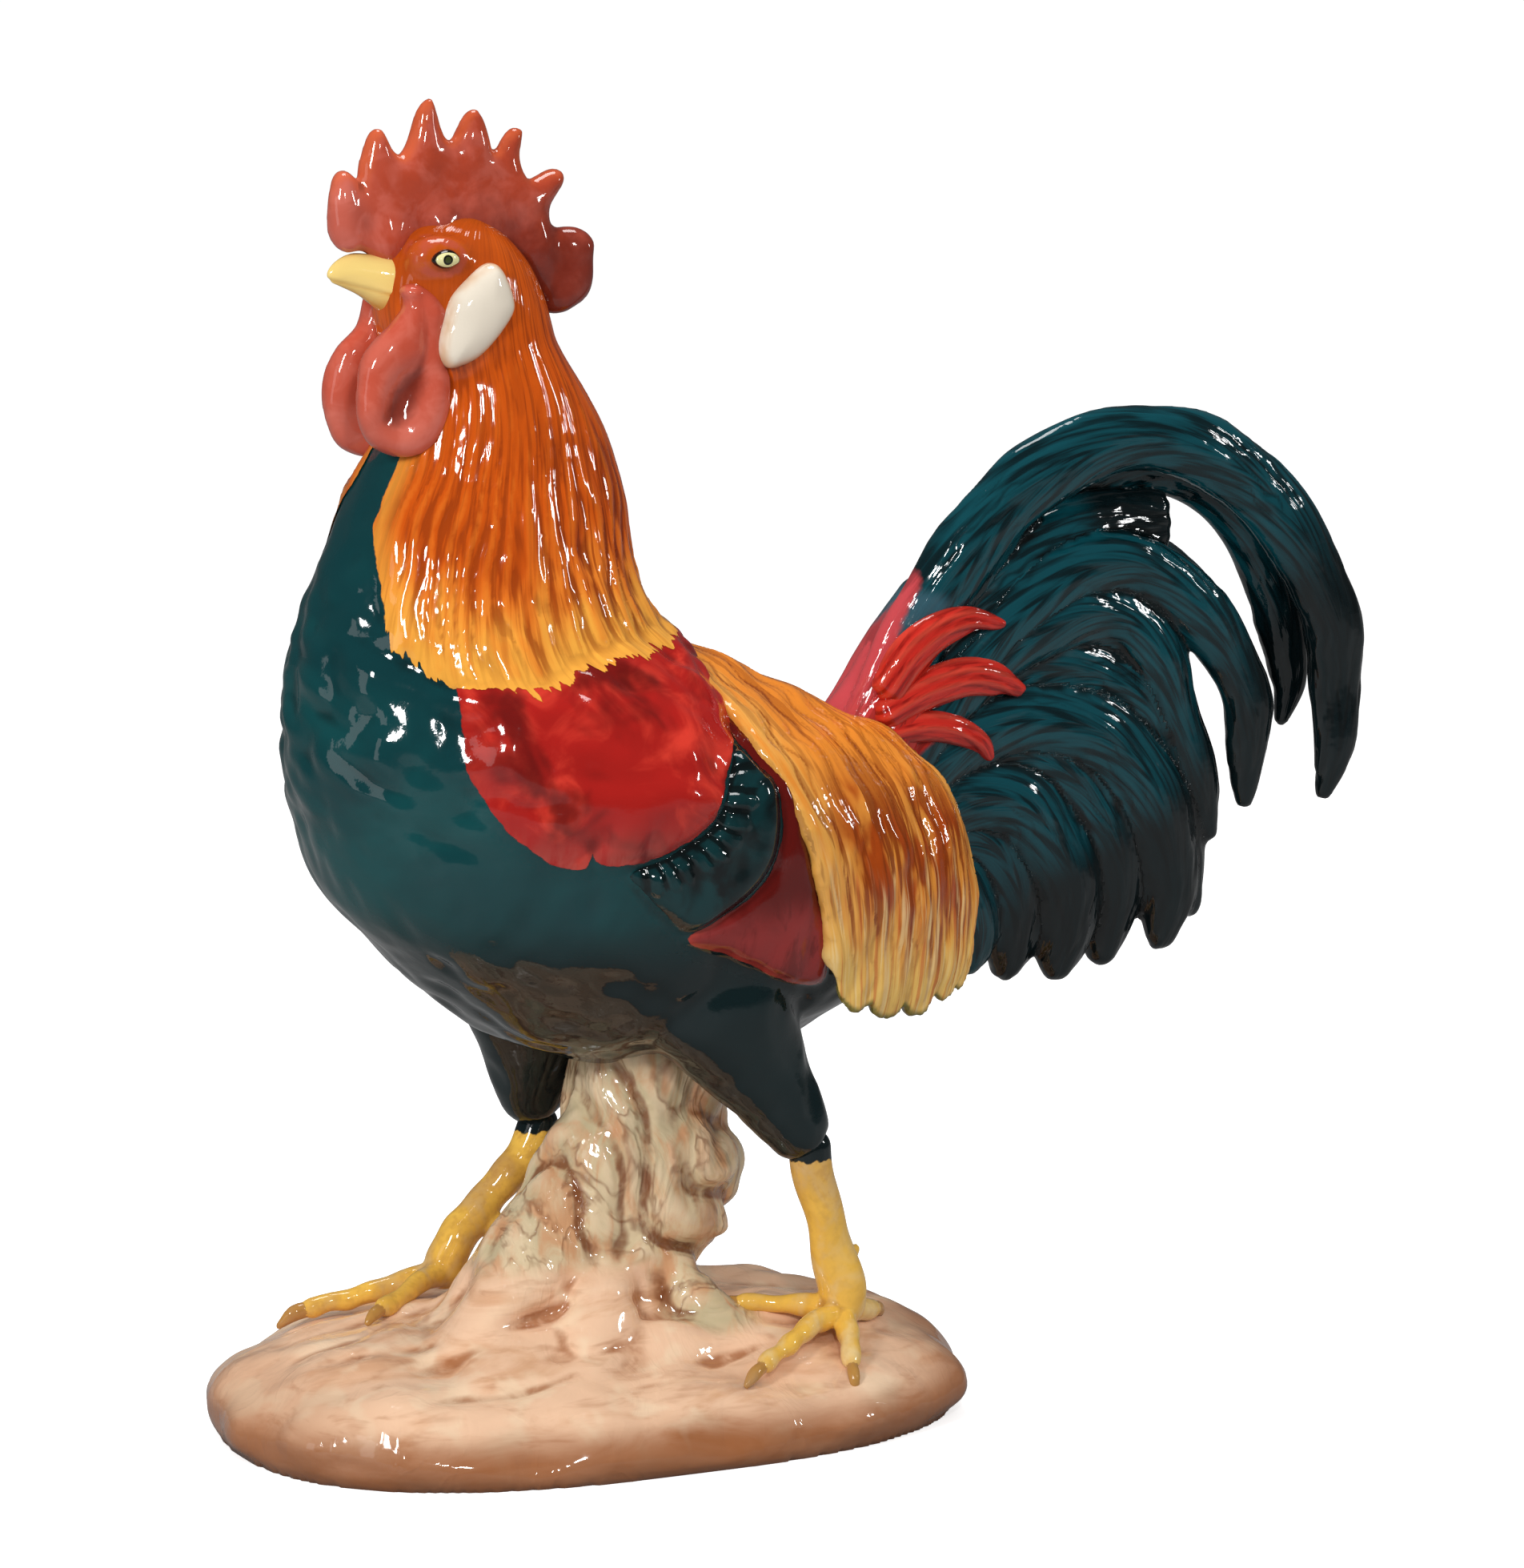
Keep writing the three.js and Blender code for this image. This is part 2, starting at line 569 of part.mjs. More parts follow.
// A width that swells to the middle of a feather and closes to its tip
function swell(count, full, root = 0.75, tip = 0.16) {
  const shape = smooth([[0, root], [0.35, 1], [0.7, 0.94], [0.9, 0.66], [1, tip]]);
  return spread(0, 1, count - 1).map((share) => full * shape(share)[0]);
}
const fanQuills = [
  [[46, 106], [60, 118], [73, 130], [86, 137], [100, 140], [111, 135], [118, 126], [124, 112], [128, 97]],
  [[46, 103], [62, 116], [76, 126], [89, 132], [102, 132], [113.5, 125], [120.5, 113], [124.5, 100],
    [125.5, 83]],
  [[46, 100], [62, 112], [76, 121], [89, 124], [101, 121], [112, 111], [117.5, 98], [119, 89], [117.5, 77]],
  [[46, 98], [60, 108], [74, 116], [87, 117], [98, 111], [106, 100], [108.5, 88], [106.5, 75]],
  [[46, 96], [60, 104], [73, 110], [84, 109], [92, 101], [96.5, 91], [97, 82], [95, 73]],
  [[46, 94], [60, 99], [70, 103], [79, 101], [85, 93], [87, 84], [86, 73.5]],
  [[48, 92], [58, 94], [66, 96], [72, 93], [76, 86], [77, 76]],
];
const fan = [
  ...fanQuills.map((drawn, index) => feather(
    drawn, swell(drawn.length, index ? fanWidth / 2 : fanWidth * 0.38),
    swell(drawn.length, tailThick / 2, 1.1, 0.3), index % 2 ? 1.1 : -1.1, 6)),
  feather(
    [[50, 104], [62, 124], [76, 142], [92, 153], [106, 157], [119.5, 157.5]],
    [12, 13, 12, 9, 7, 6.5], [tailThick * 0.6, tailThick * 0.55, tailThick * 0.5, 6, 4.5, 3]),
  feather(
    [[52, 98], [70, 102], [86, 105], [102, 110], [114, 112]],
    [14, 18, 19, 18, 8], [tailThick * 0.5, tailThick * 0.42, tailThick * 0.36, 4, 2]),
  feather(
    [[48, 104], [57, 123], [64.5, 138], [72, 151]],
    [12, 8, 7, 5], [tailThick * 0.8, tailThick * 0.75, tailThick * 0.62, tailThick * 0.45]),
];
const mainRun = [
  [54, 114], [61, 133], [69.5, 148.5], [81, 162.5], [97.5, 172.5], [115, 174.5], [131.5, 168], [145, 154.5],
  [152.5, 138], [154, 124], [153, 113], [151, 104],
];
const farRun = [
  [56, 112], [65, 130], [75, 145], [88, 158.5], [103, 167], [116, 169.5], [127, 166.5], [136.5, 158.5],
  [143.5, 147], [147.5, 134.5], [149, 123], [145, 110],
];
const secondRun = [
  [58, 112], [72, 131], [86, 145], [98, 151.5], [108, 151.8], [116.5, 148], [123.5, 142], [128.5, 135.8],
  [132.5, 127.5], [134.2, 119.5], [134.3, 111.5], [133.5, 104],
];
const mainHalf = sickleWidth / 2;
const deepHalf = sickleThick / 2;
const runOut = (count, root, tip) => spread(root, tip, count - 1);
const sickles = {
  main_sickle_left: feather(
    mainRun, swell(mainRun.length, mainHalf, 1.25), swell(mainRun.length, deepHalf, 1.1, 0.3),
    runOut(mainRun.length, -deepHalf - 1.2, -deepHalf), 6, 13),
  main_sickle_right: feather(
    farRun, swell(farRun.length, mainHalf * 0.86, 1.1), swell(farRun.length, deepHalf, 1.1, 0.3),
    runOut(farRun.length, deepHalf + 1.2, deepHalf + 0.8), 6, 12),
  second_sickle_left: feather(
    secondRun, swell(secondRun.length, mainHalf * 0.84, 0.8), swell(secondRun.length, deepHalf, 1, 0.3),
    runOut(secondRun.length, -tailThick * 0.42, -deepHalf), 6, 11),
  second_sickle_right: feather(
    secondRun.map(([x, z]) => [x + 4, z]), swell(secondRun.length, mainHalf * 0.8, 0.8),
    swell(secondRun.length, deepHalf, 1, 0.3), runOut(secondRun.length, tailThick * 0.42, deepHalf), 6, 11),
};
const covertRuns = [
  [[56, 130], [61, 138], [67, 142.4], [74, 143.8], [81, 142]],
  [[56, 125.5], [61, 130], [68.5, 132.6], [77, 132.4], [85, 129.4]],
  [[56, 123], [62, 124.5], [69, 124], [74.5, 121.6], [78.4, 117.4]],
];
const coverts = [-1, 1].flatMap((side) => covertRuns.map((drawn, index) => ({
  name: `tail_covert_${side < 0 ? 'left' : 'right'}_${index + 1}`,
  form: feather(
    drawn, swell(drawn.length, covertWidth / 2, 0.9, 0.2), swell(drawn.length, 3, 1, 0.4),
    drawn.map((_, step) => side * (tailThick * 0.66 - step * 0.5)), 5, 5),
})));

// Neck hackle: a fluted cape, inside a side view outline
function cape(profile, heights, sides, flutes, depth) {
  const strand = (angle, height) => hackleLift
    + depth * Math.abs(Math.sin((flutes / 2) * angle + Math.sin(height / 9) * 0.5)) - depth / 2;
  return slices(profile, heights, sides, strand);
}
// A hem of pointed locks from one side view point to another
function hem(from, to, locks, depth) {
  return spread(0, 1, 2 * locks).map((share, index) => {
    const dip = index % 2 ? -depth : 0;
    return [from[0] + (to[0] - from[0]) * share, from[1] + (to[1] - from[1]) * share + dip];
  });
}
const neckOutline = [
  [-31, 207], [-34, 196], [-35.5, 188], [-41, 178], [-42, 168], [-42.5, 158], [-41.5, 148],
  ...hem([-38, 145], [-22, 137], 3, 3),
  ...hem([-19, 140], [8, 147], 5, 3.2),
  [22, 150], [22, 212], [-20, 212],
].map(onBird);
const neckHeights = [132, 142, 152, 165, 179, 193, 206].map((z) => onBird([0, z])[1]);
const neckTop = onBird([0, 196])[1];
const neckCape = cape((height) => {
  const [front, back, half, power] = torsoAt(Math.min(height, neckTop));
  const draw = Math.max(0, height - neckTop) * 0.2;
  return [front + draw, back - draw, half - draw, power];
}, neckHeights, 36, 12, neckFlute);

// Closed sheet between two grids of points, each of them rows of points
function sheet(outer, inner) {
  const width = outer[0].length;
  const count = outer.length * width;
  const faces = [];
  const quad = (a, b, c, d) => faces.push(a, b, c, a, c, d);
  for (let row = 0; row < outer.length - 1; row++) {
    for (let column = 0; column < width - 1; column++) {
      const near = row * width + column;
      const far = near + width;
      quad(near, near + 1, far + 1, far);
      quad(count + near, count + far, count + far + 1, count + near + 1);
    }
  }
  const rim = [
    ...spread(0, width - 1, width - 1),
    ...spread(2 * width - 1, count - 1, outer.length - 2),
    ...spread(count - 2, count - width, width - 2),
    ...spread(count - 2 * width, width, outer.length - 3),
  ];
  rim.forEach((corner, index) => {
    const next = rim[(index + 1) % rim.length];
    quad(next, corner, corner + count, next + count);
  });
  const geometry = new THREE.BufferGeometry();
  const places = [...outer.flat(), ...inner.flat()].flatMap((point) => point.toArray());
  geometry.setAttribute('position', new THREE.Float32BufferAttribute(places, 3));
  geometry.setIndex(faces);
  return facingOut(geometry);
}

// Saddle hackle: a sheet draped over the back. Each guide runs from the ridge down to the hem, as
// along, out and up, and the guides follow each other from the neck to the tail.
const saddleGuides = [
  [[11, 0, 148], [13, 12.8, 141], [15, 24, 134], [18, 34.5, 125.6], [23, 39, 114.6], [26.6, 39.4, 104],
    [30, 38, 93], [32.2, 36, 80]],
  [[19, 0, 142], [26, 12, 137.5], [31, 22, 131], [36, 31, 122.5], [39, 36.5, 112], [41, 38, 101],
    [41.8, 36.5, 89], [41.3, 34, 76]],
  [[28, 0, 136.7], [37, 11, 133], [43.5, 20, 127.5], [48, 28, 119], [50.2, 32.8, 109], [51.3, 34.5, 98],
    [51.2, 33.5, 87], [50.2, 31.5, 75]],
  [[38, 0, 131.4], [47, 10, 129], [53.5, 18, 124], [57.5, 24.5, 116.5], [59.5, 28.6, 107], [60.2, 30.5, 97],
    [59.8, 30.5, 87], [57.8, 30, 77]],
  [[49, 0, 127.2], [55, 9.5, 125.5], [60.5, 16.5, 121], [64, 21.5, 113.5], [65.5, 25, 104.5], [66, 26.8, 95],
    [65, 28, 87], [62.5, 28.5, 80]],
];
const saddleSink = 4; // how much thicker the sheet is at the ridge, where the torso cuts it back
const ridgeSteps = 9; // steps from the ridge to a hem
function saddleAt(share, over) {
  const last = saddleGuides.length - 1;
  const across = smooth(saddleGuides.map((guide, index) => [index / last, ...guide.flat()]))(share);
  const stations = saddleGuides[0].map((_, index) => (
    [index / (saddleGuides[0].length - 1), ...across.slice(3 * index, 3 * index + 3)]));
  const [along, out, up] = smooth(stations)(Math.abs(over));
  const notch = Math.abs(over) === 1 ? (1 - lockAt(share)) * lockNotch : 0;
  const [x, z] = onBird([along, up + notch]);
  return new THREE.Vector3(x, Math.sign(over) * overBird(out), z);
}
function lockAt(share) {
  return Math.abs(Math.sin(share * saddleLocks * Math.PI));
}
function drape(lift) {
  const nudge = 0.01;
  return spread(-ridgeSteps, ridgeSteps, 2 * ridgeSteps).map((step) => {
    const over = step / ridgeSteps;
    return spread(0, 1, 3 * saddleLocks).map((share) => {
      const before = saddleAt(Math.max(share - nudge, 0), over * (1 - nudge));
      const along = saddleAt(Math.min(share + nudge, 1), over * (1 - nudge)).sub(before);
      const inward = saddleAt(share, over * (1 - nudge) - nudge);
      const down = saddleAt(share, over * (1 - nudge) + nudge).sub(inward);
      const normal = along.cross(down).normalize();
      return saddleAt(share, over).addScaledVector(normal, lift(share, Math.abs(over)));
    });
  });
}
const saddleSheet = sheet(
  drape((share) => lockSwell * lockAt(share)),
  drape((share, down) => -saddleThick - saddleSink * (1 - down) ** 0.5),
);

// Faces of the largest connected skin, without the crumbs that a cut leaves behind
function largestSkin(corners, places) {
  const owner = Array.from({ length: places.length / 3 }, (_, corner) => corner);
  const rootOf = (corner) => {
    let root = corner;
    while (owner[root] !== root) root = owner[root];
    owner[corner] = root;
    return root;
  };
  for (let start = 0; start < corners.length; start += 3) {
    owner[rootOf(corners[start + 1])] = rootOf(corners[start]);
    owner[rootOf(corners[start + 2])] = rootOf(corners[start]);
  }
  const place = (corner) => new THREE.Vector3().fromArray(places, 3 * corner);
  const areas = new Map();
  for (let start = 0; start < corners.length; start += 3) {
    const root = rootOf(corners[start]);
    const [a, b, c] = [0, 1, 2].map((step) => place(corners[start + step]));
    areas.set(root, (areas.get(root) ?? 0) + b.sub(a).cross(c.sub(a)).length() / 2);
  }
  const largest = [...areas].sort((first, second) => second[1] - first[1])[0][0];
  return Array.from(corners).filter((_, index) => rootOf(corners[index - (index % 3)]) === largest);
}

// Mesh from a finished solid
const figurine = new THREE.Group();
function add(name, body, material) {
  const { vertProperties, triVerts } = body.getMesh();
  const geometry = new THREE.BufferGeometry();
  geometry.setAttribute('position', new THREE.Float32BufferAttribute(vertProperties, 3));
  geometry.setIndex(largestSkin(triVerts, vertProperties));
  geometry.computeVertexNormals();
  const mesh = new THREE.Mesh(geometry, material);
  mesh.name = name;
  figurine.add(mesh);
}

// Mound, stump and legs
add('mound_base', solid(mound).subtract(solid([moundHollow, flue])).subtract(solid(vent)), glazes.earth);
add('tree_stump', seated(solid(stump), mound, torso).subtract(solid(flue)), glazes.bark);
const legs = Object.entries(feet).map(([hand, foot]) => ({
  hand,
  thigh: thighOf(foot),
  foot: footOf(foot),
  spur: spurOf(foot),
}));
const thighs = legs.map(({ thigh }) => thigh);
for (const { hand, thigh, foot, spur } of legs) {
  add(`thigh_${hand}`, seated(solid(thigh), torso, stump), glazes.teal);
  add(`shank_and_foot_${hand}`, seated(solid(foot), thigh, mound, stump), glazes.yellow);
  add(`spur_${hand}`, seated(solid(spur), foot), glazes.yellow);
}

// Body, neck and head
add('body_shell', solid(torso).subtract(solid([hollow, flue])), glazes.teal);
add('head', seated(solid(head), torso), glazes.orange);
add('comb', seated(solid(comb), head), glazes.coral);
add('beak_upper', seated(solid(beakUpper), head, comb), glazes.yellow);
add('beak_lower', seated(solid(beakLower), head, beakUpper), glazes.yellow);
const faces = [-1, 1].map((side) => ({
  hand: side < 0 ? 'left' : 'right',
  wattle: wattleOf(side),
  dent: wattleDent(side),
  lobe: lobeOf(side),
  eye: eyeOf(side),
}));
for (const { hand, wattle, dent, lobe, eye } of faces) {
  const carved = solid(wattle).subtract(solid(dent));
  add(`wattle_${hand}`, seated(carved, head, torso, beakUpper, beakLower), glazes.coral);
  add(`ear_lobe_${hand}`, seated(solid(lobe), head, torso, wattle), glazes.cream);
  add(`eye_${hand}`, seated(solid(eye), head), glazes.iris);
}

// Wings
for (const { side, bow, bar, bay } of wings) {
  const hand = side < 0 ? 'left' : 'right';
  add(`wing_bow_${hand}`, seated(solid(bow), torso), glazes.crimson);
  add(`wing_bar_${hand}`, seated(solid(bar), torso, bow), glazes.teal);
  add(`wing_bay_${hand}`, seated(solid(bay), torso, bow, bar, ...thighs), glazes.maroon);
}

// Tail
add('tail_fan', seated(solid(fan), torso), glazes.tail);
const order = ['main_sickle_left', 'main_sickle_right', 'second_sickle_left', 'second_sickle_right'];
order.forEach((name, index) => {
  const before = order.slice(0, index).map((other) => sickles[other]);
  add(name, seated(solid(sickles[name]), torso, fan, ...before), glazes.tail);
});
coverts.forEach(({ name, form }, index) => {
  const before = coverts.slice(0, index).map((other) => other.form);
  add(name, seated(solid(form), torso, fan, ...Object.values(sickles), ...before), glazes.crimson);
});

// Hackles, fitted round everything that shows through them
const wingForms = wings.flatMap(({ bow, bar, bay }) => [bow, bar, bay]);
const faceForms = faces.flatMap(({ wattle, lobe }) => [wattle, lobe]);
const reach = torsoWidth;
add('neck_hackle', seated(
  solid(neckCape).intersect(solid(sideCutter(neckOutline, reach))),
  torso, head, comb, ...faceForms, ...wingForms), glazes.orange);
add('saddle_hackle', seated(
  solid(saddleSheet).subtract(solid(sideCutter(neckOutline, reach), slipLine)),
  torso, fan, ...Object.values(sickles), ...coverts.map(({ form }) => form), ...wingForms,
  ...thighs), glazes.gold);

export default figurine;
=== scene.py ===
"""The looks of a glazed earthenware cockerel that stands on a mound with a tree stump.

Forms are drawn in millimetres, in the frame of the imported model: the bird faces -X, its left
side is -Y, and +Z is up. Every finished mesh is turned to metres when it is set out.
"""
import logging
import math
from collections.abc import Callable, Sequence
from dataclasses import dataclass, field
from enum import Enum

import bmesh
import bpy
import numpy as np
from mathutils import Matrix, Vector
from mathutils.bvhtree import BVHTree
from mathutils.interpolate import poly_3d_calc


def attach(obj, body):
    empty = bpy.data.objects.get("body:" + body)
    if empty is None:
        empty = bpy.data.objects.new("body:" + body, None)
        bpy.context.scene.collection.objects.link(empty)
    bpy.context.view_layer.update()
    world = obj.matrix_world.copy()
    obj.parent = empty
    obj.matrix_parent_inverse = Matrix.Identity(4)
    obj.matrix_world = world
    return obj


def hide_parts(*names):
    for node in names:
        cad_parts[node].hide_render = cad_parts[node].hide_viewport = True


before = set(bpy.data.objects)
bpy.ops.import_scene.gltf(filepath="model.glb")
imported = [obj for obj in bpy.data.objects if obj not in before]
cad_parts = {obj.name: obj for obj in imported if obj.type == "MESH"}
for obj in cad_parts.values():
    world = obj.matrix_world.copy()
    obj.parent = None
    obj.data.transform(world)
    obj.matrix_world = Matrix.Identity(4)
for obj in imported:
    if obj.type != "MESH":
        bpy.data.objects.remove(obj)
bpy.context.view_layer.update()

LOG = logging.getLogger("cockerel")
METRE = 0.001
TINY = 1e-9
# Spots closer than WELD merge. A limb is aimed by spots NEARBY, and its rings crowd at its ends
WELD = 1e-4
NEARBY = 0.1
CROWDING = 0.9
Array = np.ndarray
Rows = Sequence[Sequence[float]]
Field = Callable[[Array], Array]


class Side(Enum):
    """The bird's two sides, with the sign of Y on each."""

    LEFT = -1
    RIGHT = 1

    @property
    def word(self) -> str:
        """The side's name, as piece names have it."""
        return self.name.lower()


# Numbers and fields
def smooth(rows: Rows) -> Field:
    """Makes a smooth run of values between rows.

    Args:
        rows: Rows of a place and the values there, in rising order of place.

    Returns:
        A function from places to an array with one row of values for each place.
    """
    table = np.array(rows, float)
    places, values = table[:, 0], table[:, 1:]
    slopes = np.gradient(values, places, axis=0)

    def run(place: Array) -> Array:
        place = np.clip(np.asarray(place, float), places[0], places[-1])
        low = np.clip(np.searchsorted(places, place, side="right") - 1, 0, len(places) - 2)
        span = places[low + 1] - places[low]
        part = ((place - places[low]) / span)[:, None]
        span = span[:, None]
        return (
            (2 * part**3 - 3 * part**2 + 1) * values[low]
            + (part**3 - 2 * part**2 + part) * span * slopes[low]
            + (3 * part**2 - 2 * part**3) * values[low + 1]
            + (part**3 - part**2) * span * slopes[low + 1]
        )

    return run


def rise(value: Array, low: float, high: float) -> Array:
    """Goes smoothly from 0 at low to 1 at high."""
    share = np.clip((value - low) / (high - low), 0, 1)
    return share * share * (3 - 2 * share)


class Ripple:
    """A smooth random field: plane waves in seeded directions, about -1 to 1."""

    def __init__(self, size: float, seed: int, waves: int = 10) -> None:
        """Draws the waves.

        Args:
            size: The usual distance from one crest to the next.
            seed: Which of the many fields of that size it is.
            waves: How many waves are added up.
        """
        chance = np.random.default_rng(seed)
        ways = chance.normal(size=(waves, 3))
        ways /= np.linalg.norm(ways, axis=1)[:, None]
        self.ways = ways * (2 * math.pi / size) * chance.uniform(0.7, 1.5, (waves, 1))
        self.phases = chance.uniform(0, 2 * math.pi, waves)
        self.scale = math.sqrt(2 / waves) * 0.8

    def __call__(self, places: Array) -> Array:
        """The field at an array of places."""
        return np.sin(places @ self.ways.T + self.phases).sum(axis=1) * self.scale


def rounded(turn: Array, power: Array | float) -> tuple[Array, Array]:
    """Goes once round a closed curve: a circle at a power of 2, squarer above it."""
    along, across = np.cos(turn * 2 * math.pi), np.sin(turn * 2 * math.pi)
    return (
        np.sign(along) * np.abs(along) ** (2 / power),
        np.sign(across) * np.abs(across) ** (2 / power),
    )


def round_rim(depth: Array, width: float, edge: float) -> Array:
    """Goes from its edge's share up to 1 at a width in from there, as a round rim does."""
    return edge + (1 - edge) * np.sqrt(1 - (1 - np.clip(depth / width, 0, 1)) ** 2)


class Outline:
    """A closed smooth outline in the side view, with the distance in from it."""

    def __init__(self, points: Rows, steps: int = 4) -> None:
        """Draws the outline as a curve through its points.

        Args:
            points: Side view points, x and z.
            steps: How many straight pieces there are from point to point.
        """
        corners = np.array(points, float)
        before, after = np.roll(corners, 1, 0), np.roll(corners, -1, 0)
        beyond = np.roll(corners, -2, 0)
        runs = []
        for step in range(steps):
            part = step / steps
            runs.append(0.5 * (
                2 * corners + (after - before) * part
                + (2 * before - 5 * corners + 4 * after - beyond) * part**2
                + (3 * corners - before - 3 * after + beyond) * part**3
            ))
        self.corners = np.stack(runs, axis=1).reshape(-1, 2)

    def depth(self, x: Array, z: Array) -> Array:
        """The distance in from the outline, negative outside it."""
        places = np.stack([x, z], axis=1)
        near = np.full(len(places), np.inf)
        inside = np.zeros(len(places), bool)
        for start, end in zip(self.corners, np.roll(self.corners, -1, 0)):
            way = end - start
            away = places - start
            share = np.clip(away @ way / max(way @ way, TINY), 0, 1)
            near = np.minimum(near, ((away - share[:, None] * way) ** 2).sum(axis=1))
            crosses = (start[1] > z) != (end[1] > z)
            climb = way[1] if abs(way[1]) > TINY else TINY
            inside ^= crosses & (x < start[0] + (z - start[1]) * way[0] / climb)
        return np.sqrt(near) * np.where(inside, 1, -1)


# Modelling
class Clay:
    """A mesh in the making, with marks that its vertices carry."""

    def __init__(self, *marks: str) -> None:
        """Starts with nothing.

        Args:
            marks: Names of the numbers that each vertex carries.
        """
        self.mesh = bmesh.new()
        self.layers = {name: self.mesh.verts.layers.float.new(name) for name in marks}

    def wrap(self, place: Callable[[Array, Array], tuple[Array, dict[str, Array]]],
             sides: int, rings: int) -> None:
        """Wraps a grid round a form and closes its seam and its ends.

        Args:
            place: Gives points and marks for arrays of turn and share, both 0 to 1.
            sides: Faces round the form.
            rings: Faces from its first end to its last one.
        """
        made = bmesh.ops.create_grid(self.mesh, x_segments=sides, y_segments=rings, size=1.0)
        verts = made["verts"]
        flat = np.array([vert.co[:2] for vert in verts])
        points, marks = place((flat[:, 0] + 1) / 2, (flat[:, 1] + 1) / 2)
        for vert, point in zip(verts, points):
            vert.co = point
        for name, layer in self.layers.items():
            if name in marks:
                for vert, value in zip(verts, marks[name]):
                    vert[layer] = value
        bmesh.ops.remove_doubles(self.mesh, verts=verts, dist=WELD)
        faces = {face for vert in verts if vert.is_valid for face in vert.link_faces}
        bmesh.ops.recalc_face_normals(self.mesh, faces=list(faces))

    def slices(self, profile: Field, low: float, high: float, sides: int, rings: int) -> None:
        """Adds a round form of level slices.

        Args:
            profile: Gives front, back, half width and squareness at a height.
            low: The lowest slice.
            high: The highest slice.
            sides: Faces round the form.
            rings: Faces from the lowest to the highest slice.
        """
        def place(turn: Array, share: Array) -> tuple[Array, dict[str, Array]]:
            ring = np.clip((share * rings - 1) / (rings - 2), 0, 1)
            height = low + (high - low) * ring
            front, back, half, power = profile(height).T
            closed = (share * rings > 0.5) & (share * rings < rings - 0.5)
            along, across = rounded(turn, power)
            x, y = along * (back - front) / 2, across * half
            return np.stack([(front + back) / 2 + x * closed, y * closed, height], 1), {}

        self.wrap(place, sides, rings)

    def limb(self, rows: Rows, across: Sequence[float] = (0, 1, 0), sides: int = 24,
             pitch: float = 0.8, marks: dict[str, float] | None = None) -> None:
        """Adds a long form with round ends along a curve.

        Args:
            rows: Points of the curve, each with its half width and half thickness.
            across: The direction that the thickness is measured in.
            sides: Faces round the form.
            pitch: Distance from ring to ring.
            marks: Numbers that all its vertices carry; along and across are worked out.
        """
        table = np.array(rows, float)
        steps = np.linalg.norm(np.diff(table[:, :3], axis=0), axis=1)
        lengths = np.concatenate([[0], np.cumsum(steps)])
        run = smooth(np.column_stack([lengths, table]))
        whole = lengths[-1]

        def place(turn: Array, share: Array) -> tuple[Array, dict[str, Array]]:
            far = whole * (share - CROWDING * np.sin(2 * math.pi * share) / (2 * math.pi))
            here = run(far)
            after, before = np.minimum(far + NEARBY, whole), np.maximum(far - NEARBY, 0)
            ahead = run(after)[:, :3] - run(before)[:, :3]
            ahead /= np.linalg.norm(ahead, axis=1)[:, None]
            broad = np.cross(ahead, np.array(across, float))
            broad /= np.linalg.norm(broad, axis=1)[:, None]
            deep = np.cross(broad, ahead)
            half, thick = here[:, 3], here[:, 4]
            first = np.clip(far / np.maximum(table[0, 4], NEARBY), 0, 1)
            last = np.clip((whole - far) / np.maximum(min(table[-1, 3:5]), NEARBY), 0, 1)
            closing = np.sqrt(1 - (1 - first) ** 2) * np.sqrt(1 - (1 - last) ** 2)
            along, over = np.cos(turn * 2 * math.pi), np.sin(turn * 2 * math.pi)
            wide, high = along * half * closing, over * thick * closing
            points = here[:, :3] + broad * wide[:, None] + deep * high[:, None]
            carried = {name: np.full(len(far), value) for name, value in (marks or {}).items()}
            return points, {"along": far, "across": wide, **carried}

        self.wrap(place, sides, max(8, round(whole / pitch)))

    def slab(self, outline: Outline, half: float) -> None:
        """Adds a flat slab inside a side view outline.

        Args:
            outline: The outline.
            half: Half of the slab's thickness.
        """
        count = len(outline.corners)
        rim = bmesh.ops.create_circle(self.mesh, cap_ends=True, segments=count, radius=1)["verts"]
        for vert, (x, z) in zip(rim, outline.corners):
            vert.co = (x, -half, z)
        face = rim[0].link_faces[0]
        pushed = bmesh.ops.extrude_face_region(self.mesh, geom=[face], use_keep_orig=True)["geom"]
        moved = [item for item in pushed if isinstance(item, bmesh.types.BMVert)]
        bmesh.ops.translate(self.mesh, verts=moved, vec=(0, 2 * half, 0))
        faces = {face for vert in [*rim, *moved] for face in vert.link_faces}
        bmesh.ops.recalc_face_normals(self.mesh, faces=list(faces))

    def fuse(self, cell: float, rounds: int) -> "Cast":
        """Joins all forms to one skin and rounds it off, as slip and glaze do.

        Args:
            cell: The size of the new faces.
            rounds: How many times the skin is smoothed.

        Returns:
            The one skin, with the marks of the forms that it came from.
        """
        piece = self._object()
        remesh = piece.modifiers.new("fuse", "REMESH")
        remesh.mode, remesh.voxel_size = "VOXEL", cell
        soften = piece.modifiers.new("soften", "SMOOTH")
        soften.factor, soften.iterations = 0.5, rounds
        cast = Cast(_applied(piece))
        cast.marks.update(self._carried(cast.places))
        self.mesh.free()
        return cast

    def cast(self) -> "Cast":
        """The forms as they are, without joining them."""
        piece = self._object()
        cast = Cast(_applied(piece))
        for name in self.layers:
            cast.marks[name] = _read(cast.mesh.attributes[name].data, "value", 1)
        self.mesh.free()
        return cast

    def _object(self) -> bpy.types.Object:
        """An object with the mesh as it is now."""
        mesh = bpy.data.meshes.new("clay")
        self.mesh.to_mesh(mesh)
        piece = bpy.data.objects.new("clay", mesh)
        bpy.context.scene.collection.objects.link(piece)
        return piece

